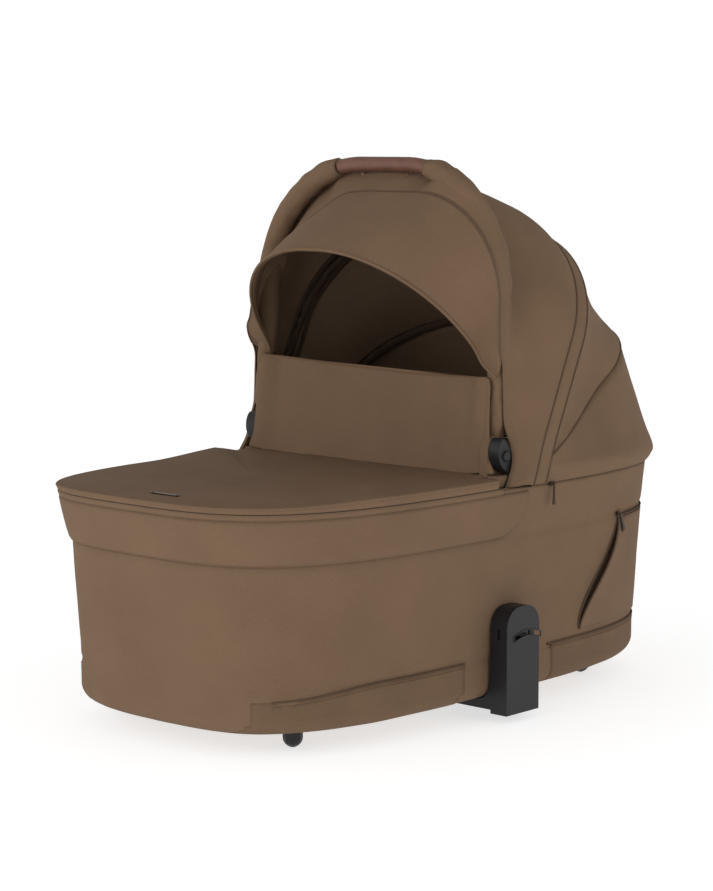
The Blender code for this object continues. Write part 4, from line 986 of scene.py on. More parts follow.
@dataclass
class Tub(Group):
    """Soft tub: wall, hard-wearing base, skirt band, lining and pad."""

    around: int = 320
    seam_depth: float = 0.0016
    seam_reach: float = 0.004
    wall_thick: float = 0.003
    cloth_thick: float = 0.0012
    panel_proud: float = 0.0004
    notch_start_y: float = -0.0725
    notch_end_y: float = 0.0925
    notch_x: float = 0.1865
    side_seam_y: float = -0.3495
    seam_drop: float = 0.0105
    seam_drop_reach: float = 0.150
    band_top: float = 0.2725
    band_end_y: float = 0.026
    band_rise: float = 0.055
    band_tip: float = 0.006
    cord_radius: float = 0.0011
    lining_inset: float = 0.0275
    lip_inset: float = 0.009
    floor_z: float = 0.0428
    pad_gap: float = 0.0105
    pad_low: float = 0.0430
    pad_high: float = 0.0735

    def build(self) -> None:
        """Builds and dresses every cloth piece of the tub, its board and its rim tube."""
        self.wall()
        self.base()
        self.band()
        self.lining()
        self.pad()
        self.finishes.dress(bpy.data.objects["base_board"], Finishes.board)
        self.finishes.dress(bpy.data.objects["rim_tube"], Finishes.steel)

    def lower_edge(self, proud: float, steps: int) -> list[Pair]:
        """Pairs of inset and height round the lower edge to the underside.

        Args:
            proud: How far they stand off the wall.
            steps: Points of the rounding, its start among them.

        Returns:
            The pairs, without the start.
        """
        start, radius = self.plan.inset_at(0.0) - proud, self.plan.edge_round + proud
        return [(start + radius * (1 - math.cos(turn)), self.plan.edge_top - radius * math.sin(turn))
                for turn in np.linspace(0, math.pi / 2, steps)[1:]]

    def seam_share(self, seam: float, grid: np.ndarray) -> np.ndarray | float:
        """Where a seam runs: the base panel's one leaves out the plain foot end."""
        return grid[..., 1] > self.side_seam_y if seam == self.plan.panel_seam else 1.0

    def padded_share(self, heights: np.ndarray, low: float, below_rim: float) -> np.ndarray:
        """Share of the padding's unevenness, none near the rim and the floor."""
        return smooth((self.plan.rim_top - below_rim - heights) / 0.03) * smooth((heights - low) / 0.03)

    def wall(self) -> None:
        """Padded outer wall from the rim to the underside, drawn in and rippled by its seams."""
        plan, lip = self.plan, self.lip_inset
        pairs = [(lip, plan.rim_top), (lip - 0.002, plan.rim_top + 0.0003),
                 (plan.rim_inset + 0.002, plan.rim_top), (plan.rim_inset + 0.0003, plan.rim_top - 0.0015)]
        pairs += [(plan.inset_at(z), z) for z in np.linspace(plan.rim_top - 0.005, plan.edge_top, 58)]
        grid = plan.rows(plan.even_turns(self.around), pairs + self.lower_edge(0.0, 12))
        normals = grid_normals(grid, True)
        out = np.sign((normals * (grid - grid.mean(axis=1, keepdims=True))).sum(axis=-1).mean())
        for seam in (plan.band_seam, plan.panel_seam):
            pull = bell(grid[..., 2] - seam, self.seam_reach) * self.seam_depth * self.seam_share(seam, grid)
            grid = grid - normals * (pull * out)[..., None]
        heights = grid[..., 2]
        grid = soften(grid, 0.0012, 0.11, 3.1, True, self.padded_share(heights, 0.07, 0.01))
        along = run_lengths(grid[20])
        for seam, amount in ((plan.panel_seam, 0.0007), (plan.band_seam, 0.0005)):
            push = pucker(heights - seam, along, amount, 0.016, 0.014, seam * 40)
            push = push * smooth((heights - plan.panel_seam) / 0.004) * self.seam_share(seam, grid)
            grid = pushed(grid, push, True)
        self.put(sheet("tub_wall", grid[:, ::-1], self.wall_thick, True), Finishes.outer, "tub", "tub_body")

    def base(self) -> None:
        """Hard-wearing base panel, notched at the adapters, with its corded edge."""
        plan, proud = self.plan, self.panel_proud
        first, last, near = (plan.turn_at(y, plan.panel_seam)
                             for y in (self.notch_start_y, self.notch_end_y, self.side_seam_y))
        turns = np.concatenate([
            np.linspace(first, last, 25)[:-1], plan.even_turns(120, last, math.pi - last),
            np.linspace(math.pi - last, math.pi - first, 25)[:-1],
            plan.even_turns(120, math.pi - first, FULL + first)])
        inset = plan.inset_at(0.0) - proud
        pairs = [(inset, z) for z in np.linspace(plan.panel_seam, plan.edge_top, 6)]
        pairs += self.lower_edge(proud, 16)
        deep = pairs[-1][0]
        pairs += [(deep + more, plan.underside - proud) for more in (0.004, 0.03, 0.07, 0.12)]
        grid = plan.rows(turns, pairs)
        share = np.clip((grid[..., 2] - plan.edge_top) / (plan.panel_seam - plan.edge_top), 0, 1)
        grid[..., 2] -= share * self.drop_at(grid[..., 1])
        heights = grid[..., 2]
        push = pucker(plan.panel_seam - heights, run_lengths(grid[3]), 0.0008, 0.013, 0.012, 5.5)
        push = push + 0.0006 * soft_noise(grid, 0.05, 9.1)
        grid = pushed(grid, push * smooth((0.084 - heights) / 0.004), True)
        item = sheet("base_cloth", grid[:, ::-1], self.cloth_thick, True, cap=True)
        self.cut_notch(item)
        self.put(item, Finishes.tough, "tub", "base_panel")
        runs = {"head": (last, math.pi - last), "right": (near, first),
                "left": (math.pi - first, math.pi - near)}
        for word, (start, end) in runs.items():
            run = plan.even_turns(150, start, end, closed=False)
            out = plan.outward(run)
            path = plan.points(run, inset, plan.panel_seam)
            path[:, 2] -= self.drop_at(path[:, 1])
            self.put(tube(f"base_cord_{word}", path, self.cord_radius), Finishes.edging, "tub")
            self.sew(f"base_stitches_{word}", path + out * 0.0002 - UP * 0.005, out, "tub")

    def drop_at(self, y: np.ndarray) -> np.ndarray:
        """How far the base panel's seam dips towards the foot end."""
        return self.seam_drop * (1 - smooth((y - self.side_seam_y) / self.seam_drop_reach))

    def cut_notch(self, item: Item) -> None:
        """Removes the base panel's faces where the adapters stand and up the plain foot end.

        Args:
            item: The base panel.
        """
        data = bmesh.new()
        data.from_mesh(item.data)
        gone = []
        for face in data.faces:
            x, y, z = face.calc_center_median()
            notch = abs(x) > self.notch_x and self.notch_start_y < y < self.notch_end_y
            if notch or (y < self.side_seam_y and z > self.plan.underside + 0.0006):
                gone.append(face)
        bmesh.ops.delete(data, geom=gone, context="FACES")
        data.to_mesh(item.data)
        data.free()

    def band(self) -> None:
        """Skirt band round the foot half, with its cord and stitching."""
        plan, steps = self.plan, 13
        turns = plan.arc_turns(self.band_end_y, End.FOOT, 240)
        out = plan.outward(turns)
        start = plan.points(turns, 0.0, self.band_top)
        rise = np.clip((self.band_end_y - start[:, 1]) / self.band_rise, 0, 1)
        gain = self.band_top - self.band_tip - plan.band_seam
        depth = self.band_tip + gain * np.sqrt(1 - (1 - rise) ** 2)
        rows = []
        for share in np.linspace(0, 1, steps):
            hem = 0.0012 * (share > 0.97) + 0.001 * (share < 0.03)
            rows.append(plan.on_wall(turns, self.band_top - depth * share, 0.0015 - hem))
        grid = np.array(rows)
        grid = grid + out * (swell(steps) * (0.0007 + 0.0006 * soft_noise(grid, 0.07, 4.4)))[..., None]
        self.put(sheet("skirt_cloth", grid[:, ::-1], self.cloth_thick), Finishes.outer, "tub", "skirt_band")
        self.put(tube("skirt_cord", grid[-1] + out * 0.0004, 0.0009), Finishes.edging, "tub")
        for name, row in (("skirt_stitches_low", -2), ("skirt_stitches_top", 1)):
            self.sew(name, grid[row] + out * 0.0004, out, "tub")

    def lining(self) -> None:
        """Lining from the rim's lip down to the floor."""
        plan, lip, deep, floor = self.plan, self.lip_inset, self.lining_inset, self.floor_z
        pairs = [(lip, plan.rim_top + 0.0001), (lip + 0.004, plan.rim_top + 0.0004),
                 (deep - 0.003, plan.rim_top + 0.0002), (deep + 0.002, plan.rim_top - 0.002)]
        pairs += [(deep + 0.0022, z) for z in np.linspace(plan.rim_top - 0.008, 0.059, 24)]
        pairs += [(deep + 0.006, 0.049), (0.045, 0.0445), (0.056, floor), (0.11, floor), (0.2, floor)]
        grid = plan.rows(plan.even_turns(200), pairs)
        grid = soften(grid, 0.0009, 0.08, 21.0, True, self.padded_share(grid[..., 2], 0.054, 0.004))
        item = sheet("tub_lining_cloth", grid, 0.0008, True, cap=True)
        self.put(item, Finishes.lining, "tub", "tub_lining")
        line = plan.points(plan.even_turns(300), deep - 0.004, plan.rim_top + 0.0006)
        self.sew("lining_stitches", line, np.tile(UP, (300, 1)), "tub")

    def pad(self) -> None:
        """Quilted mattress: crowned, drawn in at its edge and along its sewn channels."""
        plan, low, high = self.plan, self.pad_low, self.pad_high
        side = self.lining_inset + self.pad_gap
        pairs = [(side + 0.012, low), (side + 0.004, low + 0.003), (side, low + 0.010),
                 (side - 0.0005, (low + high) / 2), (side + 0.001, high - 0.008),
                 (side + 0.004, high - 0.002), (side + 0.011, high)]
        rows = list(plan.rows(plan.even_turns(160), pairs))
        edge = rows[-1]
        centre = np.array([0.0, plan.middle_y + plan.shift, high])
        for share in np.linspace(0.95, 0.05, 30):
            row = mix(centre, edge, share)
            quilt = np.abs(np.sin(math.pi * (row[:, 1] - 0.03) / 0.12))
            row[:, 2] = high + 0.006 * (1 - share ** 2) - 0.0025 * bell(quilt, 0.10)
            rows.append(row)
        item = grid_mesh("mattress_pad", np.array(rows), True, cap=True)
        self.put(item, Finishes.cotton, "tub", "mattress")


@dataclass(frozen=True)
class Arch:
    """Round-cornered bow that leans over the tub, from its right foot to its left foot."""

    foot_y: float
    foot_z: float
    lean: float
    height: float
    low: float
    high: float
    corner: float
    taper: float
    hold: float = 0.0

    def fine(self) -> np.ndarray:
        """Returns closely spaced points of the bow."""
        leg, count = self.height - self.corner, 120
        rise = np.linspace(0.0, leg, count, endpoint=False)
        across = mix(self.low, self.high, smooth((rise - self.hold) / self.taper))
        turn = np.linspace(0, math.pi / 2, count)
        across = np.concatenate([across, self.high - self.corner + self.corner * np.cos(turn)])
        rise = np.concatenate([rise, leg + self.corner * np.sin(turn)])
        across, rise = np.concatenate([across, -across[::-1]]), np.concatenate([rise, rise[::-1]])
        lean = math.radians(self.lean)
        y, z = self.foot_y + rise * math.sin(lean), self.foot_z + rise * math.cos(lean)
        return np.stack([across, y, z], axis=1)

    def points(self, count: int, above: float = 0.0) -> np.ndarray:
        """Evenly spaced points of the bow, leaving out what lies lower than a height."""
        fine = self.fine()
        return resample(fine[fine[:, 2] >= above], count)


HANDLE_ARCH = Arch(0.0135, 0.315, 2.9, 0.3412, 0.1925, 0.190, 0.153, 0.075, 0.050)


@dataclass
class Apron(Group):
    """Foot cover with piping, zip, name plate and the padded windshield flap on its rear edge."""

    side_end_y: float = -0.032
    tongue_half: float = 0.197
    rear_y: float = -0.0065
    seat_z: float = 0.2812
    rise_side: float = 0.0088
    rise_foot: float = 0.0052
    rise_far: float = 0.0012
    edge_points: int = 200
    cord_radius: float = 0.0019
    zip_end_y: float = -0.022
    coil_z: float = 0.2804
    coil_pitch: float = 0.0022
    coil_radius: float = 0.0009
    coil_wave: float = 0.0002
    coil_inset: float = 0.0012
    zip_thick: float = 0.0008
    zip_rows: tuple[Pair, ...] = (
        (0.0024, 0.2728), (0.0014, 0.2750), (0.0011, 0.2768), (0.0016, 0.2790), (0.0026, 0.2808))
    cloth_thick: float = 0.0015
    flap_foot: Pair = (-0.0068, 0.2915)
    flap_top: Pair = (0.0115, 0.4095)
    flap_dip: tuple[Pair, ...] = (
        (-0.190, 0.0045), (-0.136, 0.0014), (-0.070, -0.0012), (0.0, -0.0034), (0.060, -0.0048),
        (0.105, -0.0052), (0.150, -0.0040), (0.190, -0.0020))
    flap_half_low: float = 0.2000
    flap_half_high: float = 0.1965
    flap_thick: float = 0.0066
    wing_ahead: Pair = (0.0012, 0.0090)
    flap_tuck: float = 0.060
    corner_lift: float = 0.0025
    plate_size: Triple = (0.046, 0.0052, 0.0011)
    plate_at: Pair = (0.020, -0.362)

    def build(self) -> None:
        """Builds and dresses the apron, its zip, its plate and the flap."""
        self.cover()
        self.zip()
        self.plate()
        self.flap()

    def edge_rise(self, points: np.ndarray) -> np.ndarray:
        """Height of the piping over the zip's line, lower round the foot end and on the far side.

        Args:
            points: Points of the edge.

        Returns:
            One height for each point.
        """
        rise = mix(self.rise_foot, self.rise_side, smooth((points[:, 1] + 0.37) / 0.16))
        full = np.maximum(smooth((points[:, 0] + 0.225) / 0.13), smooth((points[:, 1] + 0.15) / 0.15))
        return mix(self.rise_far, rise, full)

    def outline(self, inset: float, lift: float) -> np.ndarray:
        """Edge of the cover: round the foot end, then in to the tongue under the flap.

        Args:
            inset: Distance inside the rim's outline.
            lift: Share of the side strip's height, 0 at its foot.

        Returns:
            Points of the closed outline.
        """
        run = self.plan.points(self.plan.arc_turns(self.side_end_y, End.FOOT, self.edge_points), inset,
                               self.plan.rim_top)
        side, rear, half = self.side_end_y - inset, self.rear_y - inset, self.tongue_half - inset
        corners = [run[-1], (-half, side, 0), (-half, rear, 0), (half, rear, 0), (half, side, 0), run[0]]
        parts = [run]
        for a, b, count in zip(corners[:-1], corners[1:], (6, 6, 60, 6, 6)):
            parts.append(mix(np.array(a), np.array(b), np.linspace(0, 1, count + 1)[1:, None]))
        points = np.vstack(parts)[:-1]
        points[:, 2] = self.seat_z + self.edge_rise(points) * lift
        return points

    def cover(self) -> None:
        """Side strip and top of the cover, with the piping and two rows of stitches."""
        pairs = [(0.0014, 0.0), (0.0008, 0.25), (0.0006, 0.6), (0.0012, 0.9), (0.0028, 1.04), (0.0055, 1.0),
                 (0.009, 1.08)]
        rows = [self.outline(inset, lift) for inset, lift in pairs]
        edge = rows[-1]
        centre = np.array([0.0, -0.20, edge[:, 2].max()])
        rows += [mix(centre, edge, share) for share in (0.975, *np.linspace(0.94, 0.04, 26))]
        grid = np.array(rows)
        top = (np.arange(len(rows)) >= len(pairs))[:, None]
        grid[..., 2] += (0.0011 * soft_noise(grid, 0.13, 2.2) + 0.0005 * soft_noise(grid, 0.035, 8.1)) * top
        away = np.linalg.norm(grid - edge[None], axis=-1)
        grid[..., 2] += pucker(away, run_lengths(edge), 0.0007, 0.018, 0.013, 3.3) * top
        item = sheet("apron_cloth", grid, self.cloth_thick, True, cap=True)
        self.put(item, Finishes.outer, "apron", "apron_cover")
        run = self.outline(0.0002, 1.0)[:self.edge_points]
        self.put(tube("apron_piping", run - UP * 0.0003, self.cord_radius, 10), Finishes.outer, "apron")
        out = self.plan.outward(self.plan.arc_turns(self.side_end_y, End.FOOT, self.edge_points))
        for name, inset, lift, normals in (("apron_strip_stitches", 0.0003, 0.35, out),
                                           ("apron_top_stitches", 0.0068, 1.06, np.tile(UP, (len(out), 1)))):
            line = self.outline(inset, lift)[:self.edge_points]
            self.sew(name, line + normals * 0.0003, normals, "apron", 0.0003)

    def zip(self) -> None:
        """Zip tape on the rim and its coil."""
        plan = self.plan
        rows = plan.rows(plan.arc_turns(self.zip_end_y, End.FOOT, 220), self.zip_rows)
        self.put(sheet("apron_zip_tape", rows, self.zip_thick), Finishes.outer, "tub", "apron_zip")
        path = plan.points(plan.arc_turns(self.zip_end_y, End.FOOT, 3300), self.coil_inset, self.coil_z)
        radii = self.coil_radius + self.coil_wave * np.sin(FULL * run_lengths(path) / self.coil_pitch)
        self.put(tube("apron_zip_coil", path, radii, 6), Finishes.coil, "tub")

    def plate(self) -> None:
        """Small plain metal plate with two rivets on the top."""
        width, depth, thick = self.plate_size
        (x, y), half = self.plate_at, depth / 2
        top = self.seat_z + self.rise_foot + 0.0028
        corners = []
        for sign, start in ((1, 0), (-1, 90), (-1, 180), (1, 270)):
            for turn in np.radians(np.linspace(start, start + 90, 6)):
                across = x + sign * (width / 2 - half) + half * math.cos(turn)
                corners.append((across, y + half * math.sin(turn), top))
        self.put(extruded("apron_plate", corners, UP, thick, 0.0003, 2), Finishes.bronze, "apron")
        profile = [(0.0012, 0.0), (0.0012, 0.0002), (0.0008, 0.0005), (0.0, 0.0006)]
        for side in Side:
            at = (x + side.value * width * 0.42, y, top + thick)
            self.put(turned(f"apron_plate_rivet_{side.word}", profile, at, UP, 16), Finishes.bronze, "apron")

    def flap(self) -> None:
        """Padded windshield flap with a rolled edge and soft creases at its foot."""
        foot, top = np.array(self.flap_foot), np.array(self.flap_top)
        turns = np.linspace(0, FULL, 180, endpoint=False)
        shares = np.concatenate([np.linspace(0, 0.965, 30), [0.98, 0.99, 0.997, 1.0]])
        rows = []
        for share in shares:
            half = mix(self.flap_half_low, self.flap_half_high, share) + 0.0050 * (1 - smooth(share / 0.16))
            tip = 1 - 0.97 * max(0.0, (share - 0.965) / 0.035) ** 2.2
            across = (half - 0.006 * max(0.0, (share - 0.93) / 0.07) ** 2) * power(np.cos(turns), 0.35)
            across = np.where(across < 0, across * (1 - self.flap_tuck * (0.5 + 0.5 * share)), across)
            deep = self.flap_thick / 2 * tip * power(np.sin(turns), 0.6)
            y, z = mix(foot, top, share)
            ahead = self.wing_ahead[0] + self.wing_ahead[1] * share
            ahead = ahead * smooth((np.abs(across) - 0.152) / 0.028)
            rows.append(np.stack([across, y + deep - ahead, np.full_like(across, z)], axis=1))
        grid = np.array(rows)
        height = (shares * 0.115)[:, None] * np.ones(len(turns))
        out = np.sign((grid_normals(grid, True)[10] * (grid[10] - grid[10].mean(axis=0))).sum(axis=-1).mean())
        push = pucker(height, grid[..., 0], 0.0030, 0.046, 0.030, 4.7)
        push = push + 0.0007 * soft_noise(grid, 0.06, 6.0) + 0.0016 * soft_noise(grid, 0.11, 21.0)
        push = push - 0.0012 * bell(height - 0.1075, 0.0018)
        push = push - 0.0010 * bell(np.abs(grid[..., 0]) - self.flap_half_high + 0.006, 0.0018)
        grid = pushed(grid, push * out, True)
        corner = smooth((np.abs(grid[..., 0]) - 0.165) / 0.030) * (1 - smooth(height / 0.030))
        dip = np.interp(grid[..., 0], *np.array(self.flap_dip).T)
        grid[..., 2] += self.corner_lift * corner + dip * smooth((height - 0.03) / 0.08)
        item = outward(grid_mesh("flap_pad", grid if out < 0 else grid[:, ::-1], True, cap=True))
        self.put(item, Finishes.outer, "flap", "apron_flap")


@dataclass
class Hood(Group):
    """Folding hood: front panel, band, rear and lower panels, lining, seam tapes and visor."""

    front: Arch = Arch(-0.0087, 0.2775, 2.4, 0.3470, 0.2300, 0.2101, 0.1354, 0.12, 0.036)
    seam_a: Arch = Arch(0.0359, 0.2790, 24.0, 0.3312, 0.2345, 0.2315, 0.145, 0.060)
    seam_b: Arch = Arch(0.0589, 0.2790, 24.5, 0.3212, 0.2345, 0.2315, 0.145, 0.060)
    rear: Arch = Arch(0.0764, 0.3130, 61.0, 0.2845, 0.2335, 0.2040, 0.125, 0.170)
    visor_edge: Arch = Arch(0.027, 0.4038, -40.4, 0.1994, 0.187, 0.176, 0.168, 0.030)
    columns: int = 161
    visor_start_z: float = 0.425
    toe: Pair = (0.010, -0.017)
    toe_reach: float = 0.040
    leg_edge: tuple[Triple, ...] = (
        (0.2775, 0.2225, -0.0040), (0.2880, 0.2210, 0.0036), (0.2970, 0.2197, 0.0110),
        (0.3050, 0.2192, 0.0134), (0.3200, 0.2187, 0.0133), (0.3360, 0.2128, 0.0136),
        (0.3450, 0.2073, 0.0128), (0.3600, 0.2062, 0.0120), (0.3900, 0.2060, 0.0116),
        (0.4150, 0.2050, 0.0120), (0.4350, 0.2080, 0.0030))
    far_shoulder: tuple[Triple, ...] = (
        (-0.010, 0.0055, 0.6238), (-0.038, 0.005, 0.6208), (-0.0667, 0.004, 0.6080), (-0.1027, 0.003, 0.5856),
        (-0.1358, 0.003, 0.5635), (-0.1553, 0.002, 0.5500), (-0.1740, 0.001, 0.5335),
        (-0.1858, 0.000, 0.5136), (-0.1965, -0.001, 0.4850), (-0.2020, -0.002, 0.4550))
    wrap_radius: float = 0.0160
    inside_leg: Pair = (-0.0115, 0.0145)
    behind_leg: Pair = (-0.006, 0.0160)
    behind_far: Pair = (0.010, 0.0027)
    under_grip: Pair = (-0.0135, 0.003)
    behind_grip: Pair = (-0.009, 0.021)
    sleeve_lift: Pair = (0.009, -0.0045)
    grip_clear: float = 0.078
    belly: float = 0.0055
    belly_z: float = 0.298
    seat_z: float = 0.2790
    cloth_thick: float = 0.0014
    lining_gap: float = 0.0030
    lining_thick: float = 0.0006
    rear_sag: float = 0.008
    tape_half: float = 0.0048
    tape_depth: float = 0.0052
    tape_thick: float = 0.0006
    tape_stitch: Pair = (0.0045, 0.0004)
    visor_thick: float = 0.0012
    visor_gap: float = 0.0026
    zip_thick: float = 0.0010
    zip_start_y: float = 0.032
    zip_rows: tuple[Pair, ...] = ((0.0022, 0.2772), (0.0014, 0.2784), (0.0020, 0.2800))
    cord_radii: Triple = (0.0013, 0.0012, 0.0011)
    hem_radius: float = 0.0021
    front_crown: float = 0.012
    blend_start: Triple = (0.0, 0.100, 0.2815)
    blend_end: Triple = (0.0, -0.026, 0.351)

    def build(self) -> None:
        """Builds and dresses the whole hood."""
        front, a, b = (arch.points(self.columns) for arch in (self.front, self.seam_a, self.seam_b))
        front = self.round_the_leg(front)
        upper_b, rear = self.seam_b.points(self.columns, self.rear.foot_z), self.rear.points(self.columns)
        away = self.away(a, b)
        self.panel("hood_front_cloth", "hood_front_panel", self.front_rows(front, a))
        self.panel("hood_band_cloth", "hood_band", spline([a, (a + b) / 2 + away * 0.0012, b], 4))
        self.panel("hood_rear_cloth", "hood_rear_panel", self.rear_rows(upper_b, rear))
        self.lower(rear)
        for name, path in (("hood_cord_a", a), ("hood_cord_b", b)):
            self.fold(tube(name, path, self.cord_radii[0]), Finishes.edging)
            self.seam_tape(f"{name}_tape", path, away)
        self.put(tube("hood_cord_rear", rear, self.cord_radii[1]), Finishes.edging, "tub")
        self.visor()

    def fold(self, item: Item, finish: Finish, node: str = "") -> None:
        """Dresses a piece of the cover and bakes its place into its mesh; it rides no body.

        Args:
            item: The piece.
            finish: Its finish.
            node: CAD node that it replaces, if any.
        """
        self.finishes.dress(item, finish)
        if node:
            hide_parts(node)
        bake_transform(item)

    def away(self, first: np.ndarray, second: np.ndarray) -> np.ndarray:
        """Outward direction of the cloth between two lines.

        Args:
            first: One line.
            second: The other, with as many points.

        Returns:
            One direction for each pair of points.
        """
        normals = unit(np.cross(second - first, np.gradient(first, axis=0)))
        centre = (first + second) / 2 - np.array([0.0, 0.1, 0.35])
        return normals * np.sign((normals * centre).sum(axis=1, keepdims=True))

    def round_the_leg(self, front: np.ndarray) -> np.ndarray:
        """Front edge led behind the covered leg and over the hinge, and inwards at the far shoulder.

        Args:
            front: Points of the front edge.

        Returns:
            The moved points.
        """
        heights, x, y = np.array(self.leg_edge).T
        z = front[:, 2]
        low = 1 - smooth((z - 0.425) / 0.045)
        moved = front.copy()
        moved[:, 0] += (np.sign(front[:, 0]) * np.interp(z, heights, x) - front[:, 0]) * low
        moved[:, 1] += (np.interp(z, heights, y) - front[:, 1]) * low
        keys = [np.array(key) for key in self.far_shoulder]
        inside = np.nonzero((front[:, 0] < keys[0][0]) & (z > keys[-1][2]))[0]
        moved[inside] = resample(spline(keys, 12), len(inside))
        for _ in range(2):
            moved[1:-1] = (moved[:-2] + 2 * moved[1:-1] + moved[2:]) / 4
        return moved

    def front_rows(self, front: np.ndarray, a: np.ndarray) -> np.ndarray:
        """Front panel: over the sleeves, under and behind the grip, then crowned to the first seam.

        Args:
            front: Points of the front edge.
            a: Points of the first seam.

        Returns:
            Rows of points.
        """
        bar = HANDLE_ARCH.fine()
        plain = self.front.points(self.columns)
        nearest = np.linalg.norm(plain[:, None] - bar[None], axis=-1).argmin(axis=1)
        centre = bar[nearest]
        lean = math.radians(HANDLE_ARCH.lean)
        back = np.array([0.0, math.cos(lean), -math.sin(lean)])
        out = unit(np.cross(np.gradient(bar, axis=0)[nearest], back))
        out = out * np.sign((out * (centre - np.array([0.0, 0.0, 0.40]))).sum(axis=1, keepdims=True))
        wide = np.abs(centre[:, 0])
        wrap, lift, far, high = (smooth(share)[:, None] for share in (
            (wide - self.grip_clear) / 0.030, (wide - 0.045) / 0.070, (-centre[:, 0] - 0.040) / 0.040,
            (front[:, 2] - 0.43) / 0.12))

        def off(base: Pair, more: Pair = (0.0, 0.0), share: np.ndarray | float = 0.0) -> np.ndarray:
            """Points off the handle's middle line, outward and back of it."""
            return centre + out * (base[0] + more[0] * share) + back * (base[1] + more[1] * share)

        over = mix(centre + out * self.wrap_radius, off(self.inside_leg), far)
        behind = off(self.behind_leg, self.behind_far, far)
        away = self.away(front, a)
        flat_1, flat_2 = (mix(front, a, share) + away * 0.004 for share in (0.10, 0.22))
        first = mix(flat_1, mix(off(self.under_grip), over, wrap), high)
        second = mix(flat_2, mix(off(self.behind_grip, self.sleeve_lift, lift), behind, wrap), high)
        third = mix(second, a, 0.40) + away * (0.004 + self.front_crown * 0.30 * high)
        fourth = mix(second, a, 0.75) + away * (0.003 + self.front_crown * 0.60 * high)
        return slack([front, first, second, third, fourth, a], 7, (0.0022, 0.085, 13.0), [a],
                     (0.0012, 0.022, 0.02, 1.9))

    def rear_rows(self, b: np.ndarray, rear: np.ndarray) -> np.ndarray:
        """Rear panel, slack between its two bows.

        Args:
            b: Points of the second seam.
            rear: Points of the rear bow.

        Returns:
            Rows of points.
        """
        high = smooth((b[:, 2] - 0.33) / 0.15)[:, None]
        middle = (b + rear) / 2 - self.away(b, rear) * self.rear_sag * high
        return slack([b, middle, rear], 12, (0.0026, 0.075, 17.0), [b, rear], (0.0016, 0.024, 0.022, 6.4))

    def lined(self, names: tuple[str, str], rows: np.ndarray, thick: float, gap: float) -> tuple[Item, Item]:
        """Cloth and its lining, wound so that their faces look outward.

        Args:
            names: Names of the cloth and the lining.
            rows: Rows of the cloth.
            thick: Thickness of the cloth.
            gap: How far inside it the lining lies.

        Returns:
            The cloth and the lining.
        """
        grid = rows if faces_out(rows, (0.0, 0.1, 0.36)) else rows[:, ::-1]
        return (sheet(names[0], grid, thick),
                sheet(names[1], grid - grid_normals(grid) * gap, self.lining_thick))

    def panel(self, name: str, node: str, rows: np.ndarray) -> None:
        """One panel of the cover with its lining.

        Args:
            name: Name of the cloth.
            node: CAD node that it replaces.
            rows: Rows of the cloth.
        """
        cloth, inner = self.lined((name, f"{name}_lining"), rows, self.cloth_thick, self.lining_gap)
        self.fold(cloth, Finishes.outer, node)
        self.fold(inner, Finishes.lining)

    def seam_tape(self, name: str, path: np.ndarray, away: np.ndarray) -> None:
        """Tape that covers a seam inside the hood, sewn down along both edges.

        Args:
            name: Name of the tape.
            path: Line of the seam.
            away: Outward directions along it.
        """
        half = unit(np.cross(np.gradient(path, axis=0), away)) * self.tape_half
        inside = path - away * self.tape_depth
        rows = np.array([inside + half * share for share in (-1.0, 0.0, 1.0)])
        self.fold(sheet(name, rows, self.tape_thick), Finishes.tape)
        for word, share in (("front", -0.62), ("rear", 0.62)):
            line = inside - away * self.tape_thick + half * share
            self.fold(stitches(f"{name}_{word}", line, -away, *self.tape_stitch), Finishes.thread)

    def lower(self, rear: np.ndarray) -> None:
        """Lower panel zipped to the rim, its belly over the rim's edge, and its lining and zip tape.

        Args:
            rear: Points of the rear bow.
        """
        plan, start_y = self.plan, self.seam_b.foot_y
        turns = plan.arc_turns(start_y, End.HEAD, self.columns)
        out = plan.outward(turns)
        seat, belly = plan.points(turns, 0.0004, self.seat_z), plan.points(turns, 0.0, self.belly_z)
        out = out * smooth((belly[:, 1] - start_y) / 0.16)[:, None]
        belly = belly + out * self.belly
        low, above = mix(seat, belly, 0.35) + out * 0.0016, mix(belly, rear, 0.30) - out * 0.0020
        rows = slack([seat, low, belly, above, rear], 6, (0.0020, 0.08, 23.0))
        cloth, inner = self.lined(("hood_lower_cloth", "hood_lower_lining"), rows, self.cloth_thick,
                                  self.lining_gap)
        self.put(cloth, Finishes.outer, "tub", "hood_lower_panel")
        self.put(inner, Finishes.lining, "tub")
        rows = plan.rows(plan.arc_turns(self.zip_start_y, End.HEAD, 240), self.zip_rows)
        self.put(sheet("hood_zip_tape", rows, self.zip_thick), Finishes.edging, "tub", "hood_zip")

    def visor(self) -> None:
        """Visor from the front seam to its own curved edge, with a rolled hem."""
        seam = self.round_the_leg(self.front.points(self.columns, self.visor_start_z))
        edge = self.visor_edge.points(self.columns)
        toe = 1 - smooth((edge[:, 2] - self.visor_edge.foot_z) / self.toe_reach)
        toe = toe * np.where(edge[:, 0] > 0, 1.0, 0.15)
        edge[:, 0] += np.sign(edge[:, 0]) * self.toe[0] * toe
        edge[:, 1] += self.toe[1] * toe
        middle = mix(seam, edge, 0.5) + self.away(seam, edge) * 0.0025
        rows = slack([seam, middle, edge], 12, (0.0016, 0.06, 31.0), [seam], (0.0012, 0.017, 0.014, 2.8))
        names = ("visor_cloth", "visor_lining")
        cloth, inner = self.lined(names, rows, self.visor_thick, self.visor_gap)
        self.put(cloth, Finishes.outer, "visor", "visor_fabric")
        self.put(inner, Finishes.lining, "visor")
        self.put(tube("visor_hem", edge, self.hem_radius, 10), Finishes.outer, "visor", "visor_wire")
        # The seam cord is a ridge drawn a little darker than the cloth: part seam, part painted shade of the
        # crease along it.
        self.put(tube("visor_seam_cord", seam, self.cord_radii[2]), Finishes.thread, "hood_frame")


